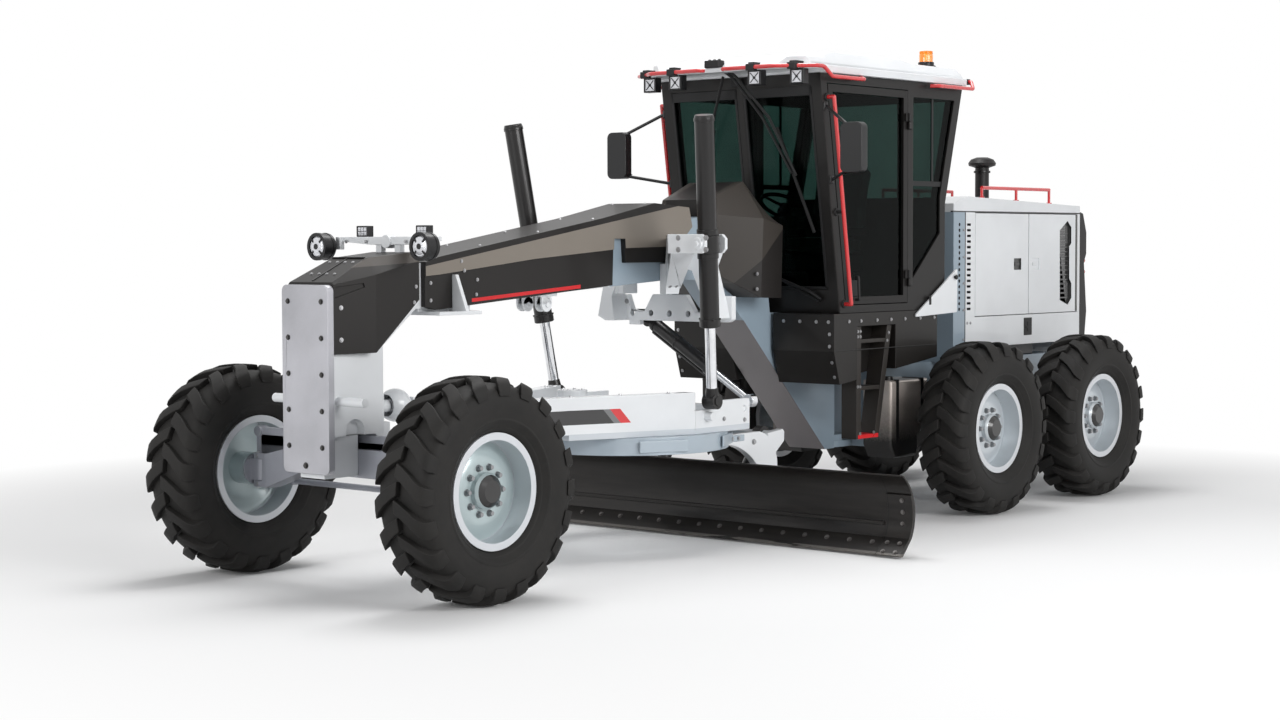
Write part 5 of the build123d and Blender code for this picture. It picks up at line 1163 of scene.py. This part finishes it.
# Bonnet. White welded sheet with four side doors: a blue-grey column with round holes and a white
# one with slots in front, and in each rear door a black latch pocket and a black netted vent.
def bonnet_regions(x, y, z):
    side = abs(y)
    column = (x > -2.409) * (z < 2.371)
    groove = (x > -2.4215) * (x < -2.4085) * (side > 0.515) * (z < 2.371)
    seam = (z > 2.3695) * (z < 2.3805) * (side < 0.5265) * (side > 0.5)
    # Painted shade: the walls of the column's slots and holes, and what lies behind them, are
    # painted near black for the shade inside them; the groove and seam are dark joints.
    slot_shade_band = (side < 0.5290) * (side > 0.48) * (z > 1.565) * (z < 2.30)
    slot_painted_shade = slot_shade_band * ((abs(x + 2.470) < 0.0286) | (abs(x + 2.325) < 0.0136))
    return [(column, BLUE_GREY), (groove | seam | slot_painted_shade, (0.020, 0.020, 0.021))]


def threads(along):
    """Fine stripes across a direction, seventy in a metre."""
    return (along * 70.0).math("FRACT", along * 70.0) > 0.45


def door_regions(x, y, z):
    side = abs(y)
    skin = side < 0.5275
    latch = (x > -3.307) * (x < -3.183) * (z > 1.890) * (z < 1.990) * skin * (side > 0.510)
    vent = (x < -3.950) * (x > -4.170) * skin * (z > 1.575) * (z < 2.310)
    net = threads(x) * threads(z) * (x > -4.085) * vent
    # Painted shade: the doors' inner faces, inboard of the skin, are painted near black for the
    # shade inside the bonnet; the latch pocket and the vent are black.
    return [
        (latch | vent | (side < 0.500), (0.012, 0.012, 0.012)), (net, (0.30, 0.30, 0.30)),
        (x < -4.225, (0.014, 0.013, 0.013)),
    ]


dress("bonnet", paint("bonnet_enamel", WHITE, regions=bonnet_regions), 0.003)
dress("bonnet_door_left_front bonnet_door_left_rear bonnet_door_right_front bonnet_door_right_rear",
      paint("bonnet_door_enamel", WHITE, regions=door_regions), 0.003)
dress("bonnet_rails", red, 0.0)
bolts("bonnet_bolts", "rear_frame", [
    ([(-2.388, 0.5305, z) for z in (2.225, 2.005, 1.790, 1.572, 1.330)], OUT, 0.009),
    ([(x, 0.5305, 1.463) for x in (-2.445, -2.495)], OUT, 0.009),
], zinc)
mesh = bmesh.new()
twin_slabs(mesh, (-3.481, 0.5285, 1.334), (-3.350, 0.5335, 1.482))
twin_slabs(mesh, (-3.455, 0.532, 1.365), (-3.405, 0.537, 1.450))
for lock in twins((-3.388, 0.5330, 1.405)):
    rod(mesh, lock, 0.0, 0.006, 0.014, sides=16)
slab(mesh, (-4.150, -0.300, 2.437), (-3.720, 0.300, 2.452))
slab(mesh, (-3.350, -0.340, 2.467), (-2.700, 0.340, 2.484))
trim("bonnet_latches", mesh, 0.004, "rear_frame")

# Exhaust and tail. A black pipe with a mushroom cap through the bonnet, and the black tail housing
# with its louvres over the cooling fan.
stack_black = paint("stack_black", (0.014, 0.013, 0.013), roughness=0.45, coat=0.0, shine=0.3)
dress("exhaust_stack", stack_black, 0.0)
tail_black = paint("tail_black", (0.0115, 0.0105, 0.010), roughness=0.42, coat=0.08, shine=0.25)
dress("rear_grille", tail_black, 0.003, 12)
mesh = bmesh.new()
foot = Matrix.Translation((-3.533, 0, 2.470))
rod(mesh, foot, 0.0, 0.020, 0.105, 0.100, sides=32)
rod(mesh, foot, 0.255, 0.275, 0.072, sides=32)
for count in range(6):
    spot = Matrix.Rotation(math.tau * count / 6, 4, "Z") @ Matrix.Translation((0.085, 0, 0))
    rod(mesh, foot @ spot, 0.018, 0.030, 0.010, sides=6)
new_piece("stack_flange", mesh, black, "rear_frame", 0.002)
tail_light = patterned(
    "tail_light", "Voronoi", {"Scale": 130.0},
    [(0.0, (0.62, 0.03, 0.02)), (1.0, (0.40, 0.015, 0.012))], {"Coat Weight": 1.0},
    gloss=(0.05, 0.10), bump=(0.3, 0.002),
)
mesh = bmesh.new()
for z in (1.960, 1.860, 1.760):
    for stand in twins((-4.4685, 0.465, z), (-1, 0, 0.05)):
        rod(mesh, stand, -0.030, 0.008, 0.030, 0.026)
new_piece("tail_lights", mesh, tail_light, "rear_frame", 0.002)

low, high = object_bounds()
